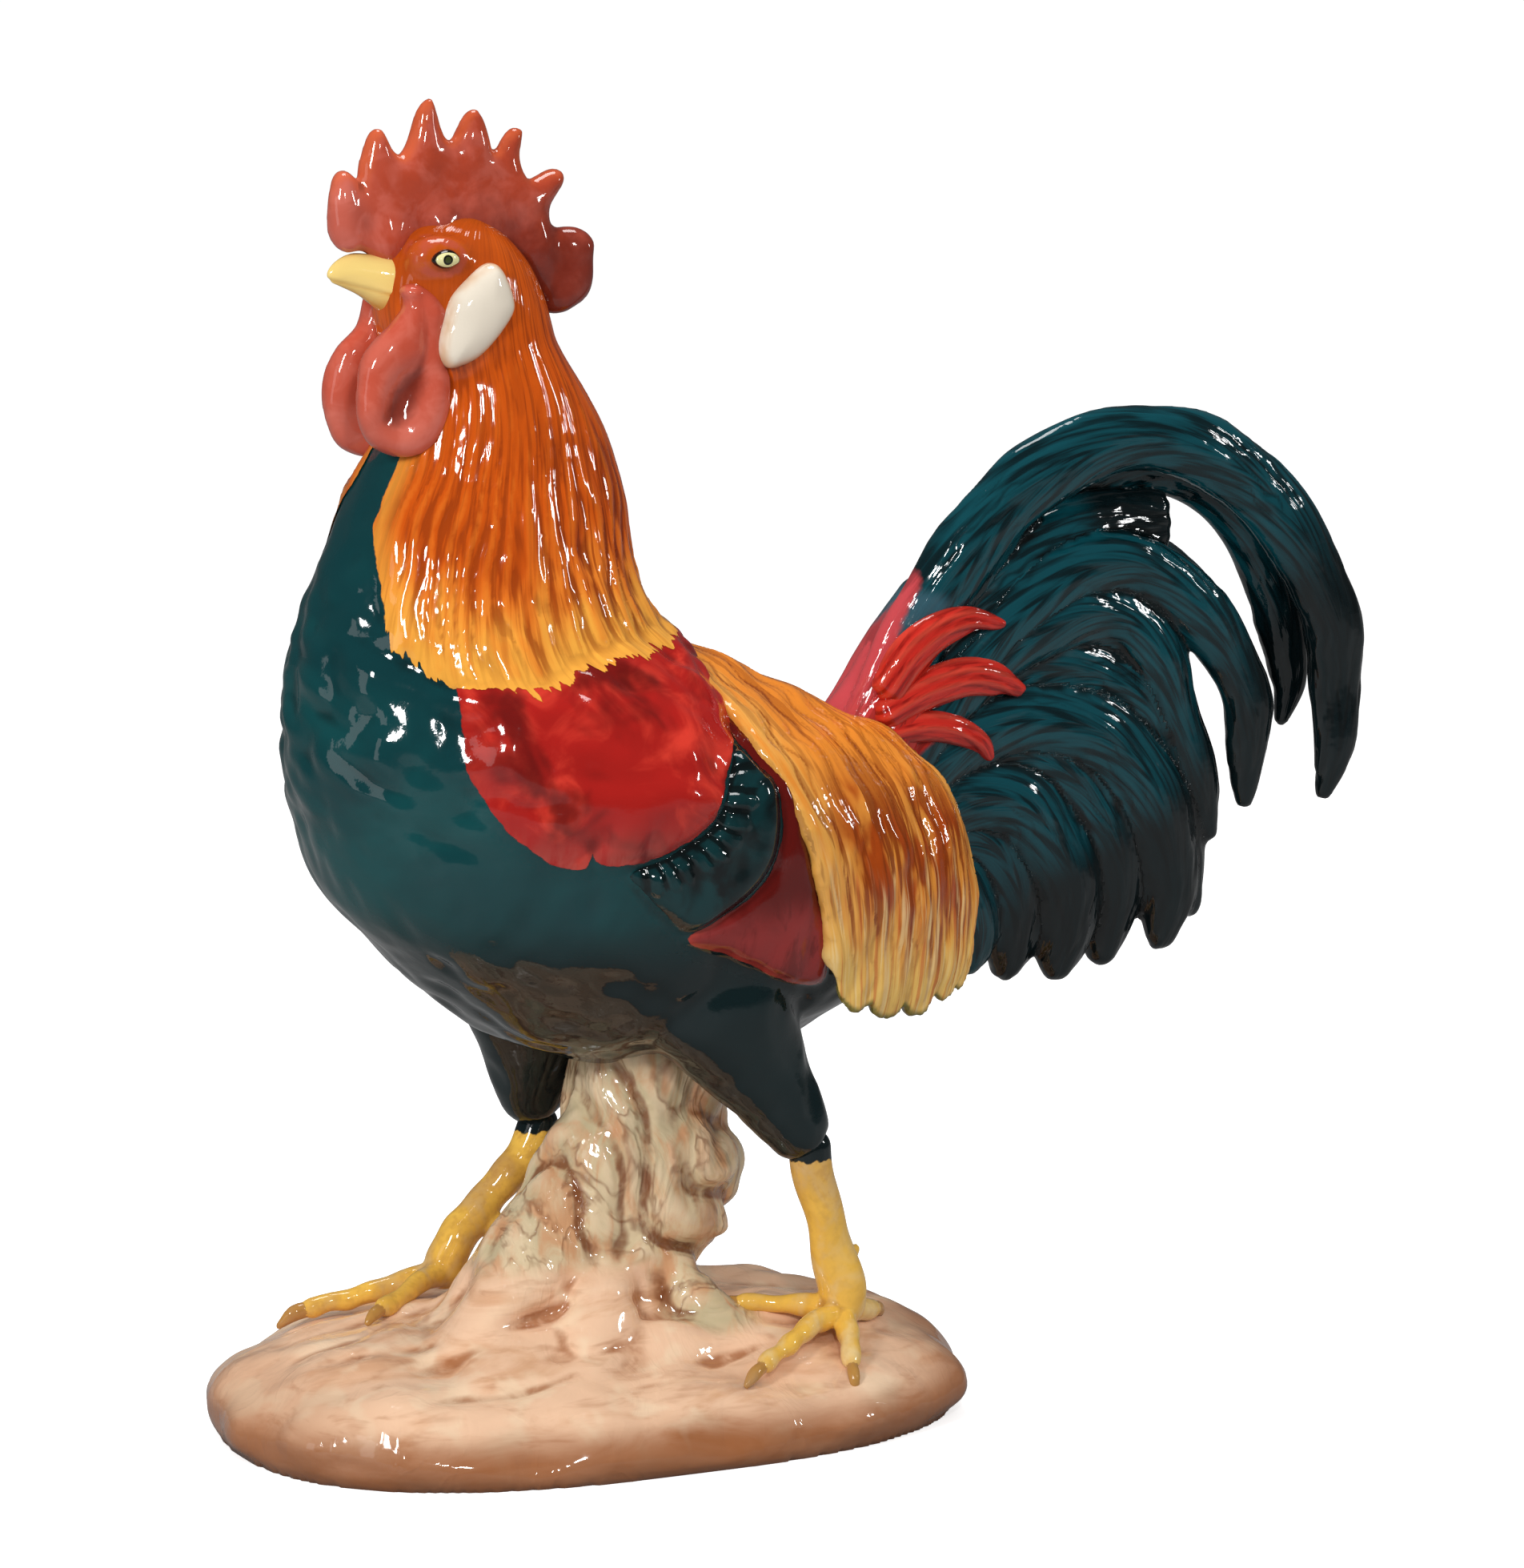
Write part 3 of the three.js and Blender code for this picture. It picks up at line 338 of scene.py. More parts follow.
    def _carried(self, places: Array) -> dict[str, Array]:
        """The marks of the nearest spot on the forms, for each place."""
        if not self.layers:
            return {}
        tree = BVHTree.FromBMesh(self.mesh)
        self.mesh.faces.ensure_lookup_table()
        found = {name: np.zeros(len(places)) for name in self.layers}
        for index, place in enumerate(places):
            spot, _, face, _ = tree.find_nearest(Vector(place))
            verts = self.mesh.faces[face].verts
            weights = poly_3d_calc([vert.co for vert in verts], spot)
            for name, layer in self.layers.items():
                found[name][index] = sum(w * vert[layer] for w, vert in zip(weights, verts))
        return found


def _read(data: bpy.types.bpy_prop_collection, name: str, width: int) -> Array:
    """A property of all items of a mesh collection, as an array."""
    values = np.zeros(len(data) * width, np.float32)
    data.foreach_get(name, values)
    return values.astype(float).reshape(-1, width) if width > 1 else values.astype(float)


def _applied(piece: bpy.types.Object) -> bpy.types.Mesh:
    """The piece's mesh with its modifiers applied; the piece itself goes."""
    bpy.context.view_layer.update()
    graph = bpy.context.evaluated_depsgraph_get()
    mesh = bpy.data.meshes.new_from_object(piece.evaluated_get(graph))
    old = piece.data
    bpy.data.objects.remove(piece)
    bpy.data.meshes.remove(old)
    return mesh


class Cast:
    """A skin whose relief is worked in arrays, in millimetres."""

    def __init__(self, mesh: bpy.types.Mesh) -> None:
        """Reads a mesh.

        Args:
            mesh: The mesh, which the cast then owns.
        """
        self.mesh = mesh
        self.marks: dict[str, Array] = {}
        self.edges = np.zeros(len(mesh.edges) * 2, np.int32)
        mesh.edges.foreach_get("vertices", self.edges)
        self.edges = self.edges.reshape(-1, 2)
        self.places = _read(mesh.vertices, "co", 3)
        self.normals = _read(mesh.vertex_normals, "vector", 3)

    @property
    def x(self) -> Array:
        """Places along the bird."""
        return self.places[:, 0]

    @property
    def y(self) -> Array:
        """Places across the bird."""
        return self.places[:, 1]

    @property
    def z(self) -> Array:
        """Heights."""
        return self.places[:, 2]

    def move(self, places: Array) -> None:
        """Puts the vertices at new places and works the normals out again."""
        self.places = places
        self.mesh.vertices.foreach_set("co", places.astype(np.float32).ravel())
        self.mesh.update()
        self.normals = _read(self.mesh.vertex_normals, "vector", 3)

    def push(self, distance: Array) -> None:
        """Moves the vertices out along their normals by a distance each."""
        self.move(self.places + self.normals * distance[:, None])

    def blurred(self, values: Array, rounds: int) -> Array:
        """Values averaged with their neighbours, over and over.

        Args:
            values: A value or a row of values for each vertex.
            rounds: How often.

        Returns:
            The averaged values, in the same shape.
        """
        flat = values.reshape(len(values), -1)
        count = np.bincount(self.edges.ravel(), minlength=len(flat)).astype(float)
        one, two = self.edges.T
        for _ in range(rounds):
            sums = [
                np.bincount(one, column[two], len(flat)) + np.bincount(two, column[one], len(flat))
                for column in flat.T
            ]
            flat = 0.5 * flat + 0.5 * np.stack(sums, 1) / np.maximum(count, 1)[:, None]
        return flat.reshape(values.shape)

    def relax(self, rounds: int) -> None:
        """Smooths the skin a little."""
        self.move(self.blurred(self.places, rounds))

    def find_hollows(self, rounds: int) -> None:
        """Marks how far each vertex lies in a hollow, in millimetres, where glaze pools and shade
        is painted; ridges come out below 0, and some paint lightens them as a painted highlight.

        Args:
            rounds: How widely the skin is averaged, to compare each vertex with.
        """
        away = self.blurred(self.places, rounds) - self.places
        self.marks["hollow"] = (away * self.normals).sum(axis=1)

    def set_out(self, name: str, finish: "Finish", slot: str, nodes: Sequence[str]) -> None:
        """Makes the finished piece in the scene.

        Args:
            name: The piece's name.
            finish: What its surface is like.
            slot: The record's material slot.
            nodes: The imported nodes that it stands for.
        """
        for mark, values in self.marks.items():
            if mark in self.mesh.attributes:
                self.mesh.attributes.remove(self.mesh.attributes[mark])
            made = self.mesh.attributes.new(mark, "FLOAT", "POINT")
            made.data.foreach_set("value", values.astype(np.float32))
        self.mesh.polygons.foreach_set("use_smooth", [True] * len(self.mesh.polygons))
        self.mesh.transform(Matrix.Scale(METRE, 4))
        self.mesh.name = name
        self.mesh.materials.clear()
        self.mesh.materials.append(finish.material())
        piece = bpy.data.objects.new(name, self.mesh)
        bpy.context.scene.collection.objects.link(piece)
        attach(piece, "root")
        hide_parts(*nodes)
        triangles = sum(len(face.vertices) - 2 for face in self.mesh.polygons)
        LOG.info("%s: %d triangles, %s", name, triangles, slot)

    def patch(self, depth: Array, proud: float, wall: float = 0.8, reach: float = 3.4) -> "Cast":
        """Takes a painted field off this skin as a closed thin piece of its own.

        Args:
            depth: How far in from the field's edge each vertex lies.
            proud: How far the paint's face stands out of this skin.
            wall: How far its back lies under its face.
            reach: How far outside its edge the piece goes on, for the brushed edge.

        Returns:
            The field as a closed cast.
        """
        shape = bmesh.new()
        shape.from_mesh(self.mesh)
        shape.verts.ensure_lookup_table()
        marks = {**self.marks, "depth": depth}
        layers = {name: shape.verts.layers.float.new(name) for name in marks}
        for vert, place in zip(shape.verts, self.places + self.normals * proud):
            vert.co = place
            for name, layer in layers.items():
                vert[layer] = marks[name][vert.index]
        lost = [vert for vert in shape.verts if depth[vert.index] < -reach]
        bmesh.ops.delete(shape, geom=lost, context="VERTS")
        bmesh.ops.solidify(shape, geom=shape.faces[:], thickness=wall)
        bmesh.ops.recalc_face_normals(shape, faces=shape.faces[:])
        mesh = bpy.data.meshes.new("patch")
        shape.to_mesh(mesh)
        shape.free()
        cast = Cast(mesh)
        for name in marks:
            cast.marks[name] = _read(mesh.attributes[name].data, "value", 1)
        return cast


# Shader arithmetic
class Wire:
    """An output socket of a material, with arithmetic on its numbers."""

    def __init__(self, bench: "Bench", socket: bpy.types.NodeSocket) -> None:
        """Holds a socket.

        Args:
            bench: The material that it belongs to.
            socket: The socket.
        """
        self.bench, self.socket = bench, socket

    def _maths(self, operation: str, *terms: "Wire | float") -> "Wire":
        """A Math node on the terms."""
        return self.bench.node("ShaderNodeMath", {"operation": operation}, dict(enumerate(terms)))

    def __add__(self, other: "Wire | float") -> "Wire":
        """Sum."""
        return self._maths("ADD", self, other)

    __radd__ = __add__

    def __sub__(self, other: "Wire | float") -> "Wire":
        """Difference."""
        return self._maths("SUBTRACT", self, other)

    def __rsub__(self, other: float) -> "Wire":
        """Difference from a number."""
        return self._maths("SUBTRACT", other, self)

    def __mul__(self, other: "Wire | float") -> "Wire":
        """Product."""
        return self._maths("MULTIPLY", self, other)

    __rmul__ = __mul__

    def __truediv__(self, other: "Wire | float") -> "Wire":
        """Quotient."""
        return self._maths("DIVIDE", self, other)

    def sine(self) -> "Wire":
        """Sine."""
        return self._maths("SINE", self)

    def size(self) -> "Wire":
        """Absolute value."""
        return self._maths("ABSOLUTE", self)

    def least(self, other: "Wire | float") -> "Wire":
        """The smaller of two."""
        return self._maths("MINIMUM", self, other)

    def most(self, other: "Wire | float") -> "Wire":
        """The larger of two."""
        return self._maths("MAXIMUM", self, other)

    def step(self, low: float, high: float) -> "Wire":
        """Goes smoothly from 0 at low to 1 at high."""
        sockets = {"Value": self, "From Min": low, "From Max": high}
        return self.bench.node(
            "ShaderNodeMapRange", {"interpolation_type": "SMOOTHSTEP", "clamp": True}, sockets)


Colour = tuple[float, float, float, float]
CLOUD_ROUGHNESS = 0.55
GLAZE_IOR = 1.5
GLOSS_SPREAD = 0.06
WAVE_DEPTH = 4.0
BRUSH_EDGE = (-0.12, 0.12)


def paint(code: str) -> Colour:
    """Turns a web colour to the linear one that shaders take.

    Args:
        code: Six hexadecimal digits, such as c4631a.

    Returns:
        Red, green, blue and 1.
    """
    parts = [int(code[start:start + 2], 16) / 255 for start in (0, 2, 4)]
    line = [part / 12.92 if part <= 0.04045 else ((part + 0.055) / 1.055) ** 2.4 for part in parts]
    return (*line, 1.0)


class Bench:
    """The node tree of one material."""

    def __init__(self, name: str) -> None:
        """Starts a material.

        Args:
            name: Its name.
        """
        self.material = bpy.data.materials.new(name)
        self.material.use_nodes = True
        self.tree = self.material.node_tree
        self.shader = self.tree.nodes["Principled BSDF"]

    def node(self, kind: str, settings: dict[str, object], sockets: dict[object, object],
             output: int | str = 0) -> Wire:
        """Adds a node.

        Args:
            kind: The node's type.
            settings: Its properties, which are set first.
            sockets: Values or wires for its inputs, by name or place.
            output: Which output is wanted.

        Returns:
            The output.
        """
        made = self.tree.nodes.new(kind)
        for name, value in settings.items():
            setattr(made, name, value)
        for name, value in sockets.items():
            self.join(made.inputs[name], value)
        return Wire(self, made.outputs[output])

    def join(self, socket: bpy.types.NodeSocket, value: object) -> None:
        """Feeds a socket with a wire, or sets its value."""
        if isinstance(value, Wire):
            self.tree.links.new(value.socket, socket)
        else:
            socket.default_value = value

    def mark(self, name: str) -> Wire:
        """A number that the piece's vertices carry."""
        return self.node("ShaderNodeAttribute", {"attribute_name": name}, {}, "Fac")

    def place(self, stretch: Sequence[float] = (1, 1, 1)) -> Wire:
        """Object coordinates in millimetres, each divided by its own stretch."""
        where = self.node("ShaderNodeTexCoord", {}, {}, "Object")
        factors = tuple(1 / (METRE * part) for part in stretch)
        return self.node("ShaderNodeVectorMath", {"operation": "MULTIPLY"}, {0: where, 1: factors})

    def flat(self, x: Wire, y: Wire) -> Wire:
        """A place on a plane, from two numbers."""
        return self.node("ShaderNodeCombineXYZ", {}, {0: x, 1: y})

    def cloud(self, size: float, where: Wire | None = None, detail: float = 3.0,
              shift: float = 0.0) -> Wire:
        """Noise from 0 to 1.

        Args:
            size: The size of its largest clouds, in millimetres.
            where: The coordinates, which are the object's own where none are given.
            detail: How many finer layers it has.
            shift: How far warped it is.

        Returns:
            The noise.
        """
        sockets = {"Vector": where or self.place(), "Scale": 1 / size, "Detail": detail,
                   "Roughness": CLOUD_ROUGHNESS, "Distortion": shift}
        return self.node("ShaderNodeTexNoise", {"normalize": True}, sockets, "Fac")

    def drift(self, reach: float, size: float, detail: float = 3.0, shift: float = 0.0) -> Wire:
        """Noise round 0, over a reach in all, that makes an edge wander."""
        return (self.cloud(size, detail=detail, shift=shift) - 0.5) * reach

    def blend(self, mask: "Wire | float", under: "Wire | Colour", over: "Wire | Colour") -> Wire:
        """One colour over another, by a mask."""
        return self.node("ShaderNodeMix", {"data_type": "RGBA", "clamp_factor": True},
                         {0: mask, 6: under, 7: over}, 2)

    def coats(self, base: "Wire | Colour", *coats: "tuple[Wire | float, Wire | Colour]") -> Wire:
        """Coats of paint, laid one after another on a base, each by its own mask."""
        for mask, colour in coats:
            base = self.blend(mask, base, colour)
        return base

    def bump(self, height: Wire, depth: float) -> Wire:
        """A bent normal from a height of 0 to 1, which is a depth in millimetres at 1."""
        return self.node("ShaderNodeBump", {}, {"Height": height, "Distance": depth * METRE})


@dataclass(frozen=True)
class Finish:
    """A glaze over painted colours. Each kind says what the paint looks like."""

    name: str
    gloss: float = 0.07
    waviness: float = 0.05

    def colour(self, bench: Bench) -> Wire:
        """The painted colour."""
        raise NotImplementedError

    def cover(self, bench: Bench) -> Wire | None:
        """How much of what lies under it the paint covers, where it has a brushed edge."""
        return None

    def height(self, bench: Bench) -> Wire:
        """The fine relief, 0 to 1: the orange peel of the glaze."""
        return bench.cloud(5.5, detail=1.0) * 0.85 + bench.cloud(1.3, detail=2.0) * 0.15

    def material(self) -> bpy.types.Material:
        """The finished material, made once for each name."""
        name = f"painted_{self.name}"
        known = bpy.data.materials.get(name)
        if known:
            return known
        bench = Bench(name)
        sockets = bench.shader.inputs
        gloss = bench.cloud(14, detail=2.0) * GLOSS_SPREAD + self.gloss - GLOSS_SPREAD / 2
        bench.join(sockets["Base Color"], self.colour(bench))
        bench.join(sockets["Roughness"], gloss)
        bench.join(sockets["Normal"], bench.bump(self.height(bench), self.waviness * WAVE_DEPTH))
        bench.join(sockets["IOR"], GLAZE_IOR)
        cover = self.cover(bench)
        if cover:
            bench.join(sockets["Alpha"], cover)
        return bench.material


@dataclass(frozen=True)
class BodyGlaze(Finish):
    """Deep teal that goes near black below."""

    teal: Colour = paint("09363a")
    dark: Colour = paint("0b1719")
    bright: Colour = paint("0e4a4c")

    def colour(self, bench: Bench) -> Wire:
        """The painted colour."""
        cloud = bench.cloud(30, shift=0.5)
        low = bench.mark("low") + (cloud - 0.5) * 0.5
        return bench.coats(
            self.teal,
            (cloud.step(0.42, 0.68) * 0.7, self.bright),
            (low.step(0.25, 0.85) * 0.9, self.dark),
            # glaze pooling and painted shade in the hollows
            (bench.mark("hollow").step(0.02, 0.3) * 0.7, self.dark),
        )


@dataclass(frozen=True)
class CombedGlaze(Finish):
    """A glaze over long strands, with its paint laid on in strokes along them."""

    def _strokes(self, bench: Bench, count: float, length: float, detail: float = 2.0) -> Wire:
        """Noise in strokes along the strands.

        Args:
            bench: The material.
            count: How many strokes there are to a strand.
            length: How long they are, in millimetres.
            detail: How many finer layers the noise has.

        Returns:
            The noise, from 0 to 1.
        """
        where = bench.flat(bench.mark("strand") * count, bench.mark("fall") / length)
        return bench.cloud(1.0, where, detail=detail, shift=0.25)

    def height(self, bench: Bench) -> Wire:
        """The fine relief, 0 to 1: combed strands under the glaze."""
        strands = self._strokes(bench, 2.2, 26.0, detail=1.0)
        return strands * 0.8 + bench.cloud(9.0, detail=1.0) * 0.2


@dataclass(frozen=True)
class HackleGlaze(CombedGlaze):
    """Burnt orange that is brushed to golden yellow at the hem, in long strokes."""

    orange: Colour = paint("cc540c")
    deep: Colour = paint("7c2a06")
    yellow: Colour = paint("f2aa42")
    light: Colour = paint("ea7c24")
    ring: Colour = paint("b8503c")
    face: Colour = paint("a24212")
    fade: float = 20.0
    fringe: float = 7.0

    def cover(self, bench: Bench) -> Wire:
        """Paint with a fringe of strokes at its hem and a plain edge elsewhere."""
        strokes = self._strokes(bench, 2.6, 16.0)
        hem = 1.0 - bench.mark("fall").step(3.0, 12.0)
        depth = bench.mark("depth") + (strokes - 0.42) * self.fringe * hem
        return (depth + bench.drift(1.4, 3.5)).step(*BRUSH_EDGE)

    def colour(self, bench: Bench) -> Wire:
        """The painted colour."""
        fall, hollow, eye = (bench.mark(name) for name in ("fall", "hollow", "eye"))
        broad = self._strokes(bench, 0.9, 16.0)
        fine = self._strokes(bench, 3.4, 20.0, detail=3.0)
        up = fall + (broad - 0.5) * 26 + (fine - 0.5) * 14
        # dark: brown strokes, with glaze pooling and painted shade in the hollows
        dark = (fine.step(0.47, 0.6) * 0.7 + broad.step(0.52, 0.66) * 0.35
                + hollow.step(0.0, 0.14) * 0.8).least(1.0)
        behind = 1.0 - bench.mark("strand").step(3, 11)
        rim = (1.0 - bench.mark("depth").step(0.4, 4.5)) * (1.0 - fall.step(34, 60))
        face = bench.blend(bench.cloud(5, detail=2.0) * 0.6, self.face, self.orange)
        ring = (1.0 - (eye - 2.9).size() / 1.1).most(0.0) * bench.cloud(3.0).step(0.25, 0.6)
        return bench.coats(
            self.yellow,
            (up.step(0.0, self.fade), self.light),
            (up.step(self.fade * 0.45, self.fade * 1.3), self.orange),
            (dark * (0.2 + up.step(-2, 14) * 0.4 + behind * 0.3), self.deep),
            # painted highlight: light orange on the ridges of the strands
            ((0 - hollow).step(0.03, 0.2) * 0.4, self.light),
            (rim * (broad.step(0.3, 0.6) * 0.5 + 0.1), self.yellow),
            ((1.0 - eye.step(6, 12)) * 0.8, face),
            (ring.step(0.1, 0.7) * 0.7, self.ring),
        )


@dataclass(frozen=True)
class SaddleGlaze(CombedGlaze):
    """Golden orange with rust half way down, pale and red strokes, and a green rim at the hem."""

    orange: Colour = paint("e08026")
    deep: Colour = paint("843608")
    yellow: Colour = paint("e6ba62")
    light: Colour = paint("e0923a")
    green: Colour = paint("4c5a22")
    rust: Colour = paint("9e3a06")
    flame: Colour = paint("c04c1c")
    straw: Colour = paint("f0d49a")

    def colour(self, bench: Bench) -> Wire:
        """The painted colour."""
        fall, middle = bench.mark("fall"), bench.mark("middle")
        broad = self._strokes(bench, 0.8, 16.0)
        fine = self._strokes(bench, 2.8, 26.0, detail=3.0)
        thin = self._strokes(bench, 3.4, 28.0)
        up = fall + (broad - 0.5) * 26 + (fine - 0.5) * 16
        edge = (1.0 - middle.step(0.34, 0.56)) * fine.step(0.3, 0.6) * 0.6
        half_way = up.step(11, 24) * (1.0 - up.step(36, 50)) * middle.step(0.3, 0.6)
        low = 1.0 - up.step(18, 32)
        # dark: brown strokes, with glaze pooling and painted shade in the hollows
        dark = (fine.step(0.5, 0.58) * (0.5 + half_way * 0.5)
                + bench.mark("hollow").step(0.0, 0.14) * 0.6).least(1.0)
        rim = 1.0 - (fall + bench.drift(1.5, 4.0)).step(0.3, 1.7)
        return bench.coats(
            self.yellow,
            (up.step(2, 20), self.light),
            (up.step(28, 56) * 0.8, self.orange),
            (edge, self.yellow),
            (half_way * (broad.step(0.4, 0.54) * 0.8 + 0.15), self.rust),
            (low * thin.step(0.48, 0.36) * 0.6, self.straw),
            (low * thin.step(0.55, 0.64) * 0.55, self.flame),
            (dark * (0.35 + up.step(4, 18) * 0.55), self.deep),
            (rim * 0.8, self.green),
        )


@dataclass(frozen=True)
class BrushedGlaze(Finish):
    """A glaze over a painted field, up to an edge that wanders a little."""

    wander: float = 1.0
    wander_size: float = 4.0

    def cover(self, bench: Bench) -> Wire:
        """Full cover inside the field, and none outside it."""
        return (bench.mark("depth") + bench.drift(self.wander, self.wander_size)).step(*BRUSH_EDGE)


@dataclass(frozen=True)
class WingGlaze(BrushedGlaze):
    """Crimson, mottled with scarlet and maroon, pink where it was wiped at the lower edge."""

    wander: float = 1.6
    crimson: Colour = paint("a81c17")
    scarlet: Colour = paint("d43a2b")
    maroon: Colour = paint("5a0f0c")
    pink: Colour = paint("b8554a")

    def colour(self, bench: Bench) -> Wire:
        """The painted colour."""
        cloud = bench.cloud(11, detail=4.0, shift=0.8)
        dark = bench.cloud(17, bench.place((1, 1, 1.4)), shift=0.5)
        strokes = bench.cloud(5, bench.place((0.8, 1, 3.0)), shift=0.4)
        wiped = bench.mark("wiped") * strokes.step(0.38, 0.62)
        return bench.coats(
            self.crimson,
            (cloud.step(0.45, 0.7), self.scarlet),
            (dark.step(0.5, 0.64) * 0.8, self.maroon),
            (wiped * 0.8, self.pink),
            # glaze pooling and painted shade in the hollows
            (bench.mark("hollow").step(0.03, 0.3) * 0.7, self.maroon),
        )


@dataclass(frozen=True)
class BarGlaze(BrushedGlaze):
    """Dark teal of the wing bar, near black between its small feathers, with a painted highlight on
    their ridges.
    """

    wander_size: float = 5.0
    teal: Colour = paint("050f11")
    # bright: lighter teal of the mottling, and of the painted highlight on the ridges
    bright: Colour = paint("0b3235")
    black: Colour = paint("040a0b")

    def colour(self, bench: Bench) -> Wire:
        """The painted colour."""
        wave, near = self._ridges(bench)
        return bench.coats(
            self.teal,
            (bench.cloud(9, shift=0.5).step(0.4, 0.65), self.bright),
            # painted highlight on the ridges of the small feathers
            (near * wave.step(0.4, 0.95) * 0.4, self.bright),
            (near * wave.step(0.4, 0.1) * 0.85, self.black),
            # glaze pooling and painted shade in the hollows
            (bench.mark("hollow").step(-0.02, 0.14) * 0.9, self.black),
        )

    def _ridges(self, bench: Bench) -> tuple[Wire, Wire]:
        """The small feathers in a row round the bow, and how near the bow a place is."""
        turn = (bench.mark("ridge") + bench.drift(0.8, 7)) * (2 * math.pi)
        wave = turn.sine() * 0.5 + 0.5
        out = bench.mark("bow") + (wave - 0.5) * 0.9
        return wave, out.step(-6.4, -5.2)

    def height(self, bench: Bench) -> Wire:
        """The fine relief, 0 to 1: the small feathers beside the bow."""
        wave, near = self._ridges(bench)
        return near * wave.step(0.0, 0.8) * 0.7 + bench.cloud(5.5, detail=2.0) * 0.3


@dataclass(frozen=True)
class BayGlaze(BrushedGlaze):
    """Dark red of the wing bay, brown-black at the top, wiped to brick red lower down, with a
    painted highlight along its lower rim.
    """

    dark: Colour = paint("5c0f0a")
    red: Colour = paint("8e2a28")
    # edge: the light red of the painted highlight along the lower rim
    edge: Colour = paint("c24634")

    def colour(self, bench: Bench) -> Wire:
        """The painted colour."""
        low = bench.mark("wiped") + bench.drift(0.6, 9, shift=0.5)
        strokes = bench.cloud(4, bench.place((0.7, 1, 2.6)), detail=4.0, shift=0.5)
        rim = 1.0 - bench.mark("depth").step(0.1, 1.3)
        return bench.coats(
            self.dark,
            (low.step(0.2, 0.8), self.red),
            (strokes.step(0.5, 0.66) * 0.6, self.dark),
            # painted highlight along the lower rim
            (rim * 0.5 * low.step(0.3, 0.8), self.edge),
            # glaze pooling and painted shade in the hollows
            (bench.mark("hollow").step(0.02, 0.2) * 0.5, self.dark),
        )


@dataclass(frozen=True)
class TailGlaze(Finish):
    """Teal that runs to near black towards the tips, black in the grooves of the feathers as dark
    barbs, glaze pooling and painted shade, with a painted shadow under the main sickle and a
    painted reflection on the root.
    """

    teal: Colour = paint("06282e")
    black: Colour = paint("04090a")
    grey: Colour = paint("091113")
    bright: Colour = paint("0b444d")
    red: Colour = paint("b8281f")
    pale_pink: Colour = paint("c65058")
    # painted reflection: a blue-grey sheen on the upper front of the tail's root
    painted_sheen: Colour = paint("3a5e6c")

    def colour(self, bench: Bench) -> Wire:
        """The painted colour."""
        barbs = self._barbs(bench)
        # low: darker towards the tips and below, with a painted shadow on the web under the main
        # sickle
        low = bench.mark("low") + bench.drift(0.5, 24, shift=0.5)
        hollow = bench.mark("hollow").step(0.0, 0.14)
        # grooves: dark barbs, with glaze pooling and painted shade in the hollows
        grooves = (barbs.step(0.5, 0.32) * 0.5 + hollow * 0.9).least(1.0)
        rim = bench.mark("red") + bench.drift(2.0, 3.0)
        red = bench.coats(
            self.red,
            # pinker towards the root of the red
            (bench.mark("pink_root") * 0.8, self.pale_pink),
            (barbs.step(0.5, 0.34) * 0.4, self.black),
        )
        return bench.coats(
            self.teal,
            (barbs.step(0.38, 0.62), self.bright),
            (low.step(0.15, 0.85) * 0.95, self.grey),
            (grooves, self.black),
            # painted reflection on the upper front of the root
            (bench.mark("painted_sheen").step(0.2, 0.8) * 0.75, self.painted_sheen),
            (rim.step(-0.4, 0.8), red),
        )

    def _barbs(self, bench: Bench) -> Wire:
        """Noise in strokes that run slantwise out from each quill."""
        along, across = bench.mark("along"), bench.mark("across")
        where = bench.flat(across.size() / 1.1 + along / 9.0, along / 16.0)
        return bench.cloud(1.0, where, detail=2.0, shift=0.3)

    def height(self, bench: Bench) -> Wire:
        """The fine relief, 0 to 1: barbs under the glaze."""
        return self._barbs(bench) * 0.5 + bench.cloud(4.5, detail=2.0) * 0.5


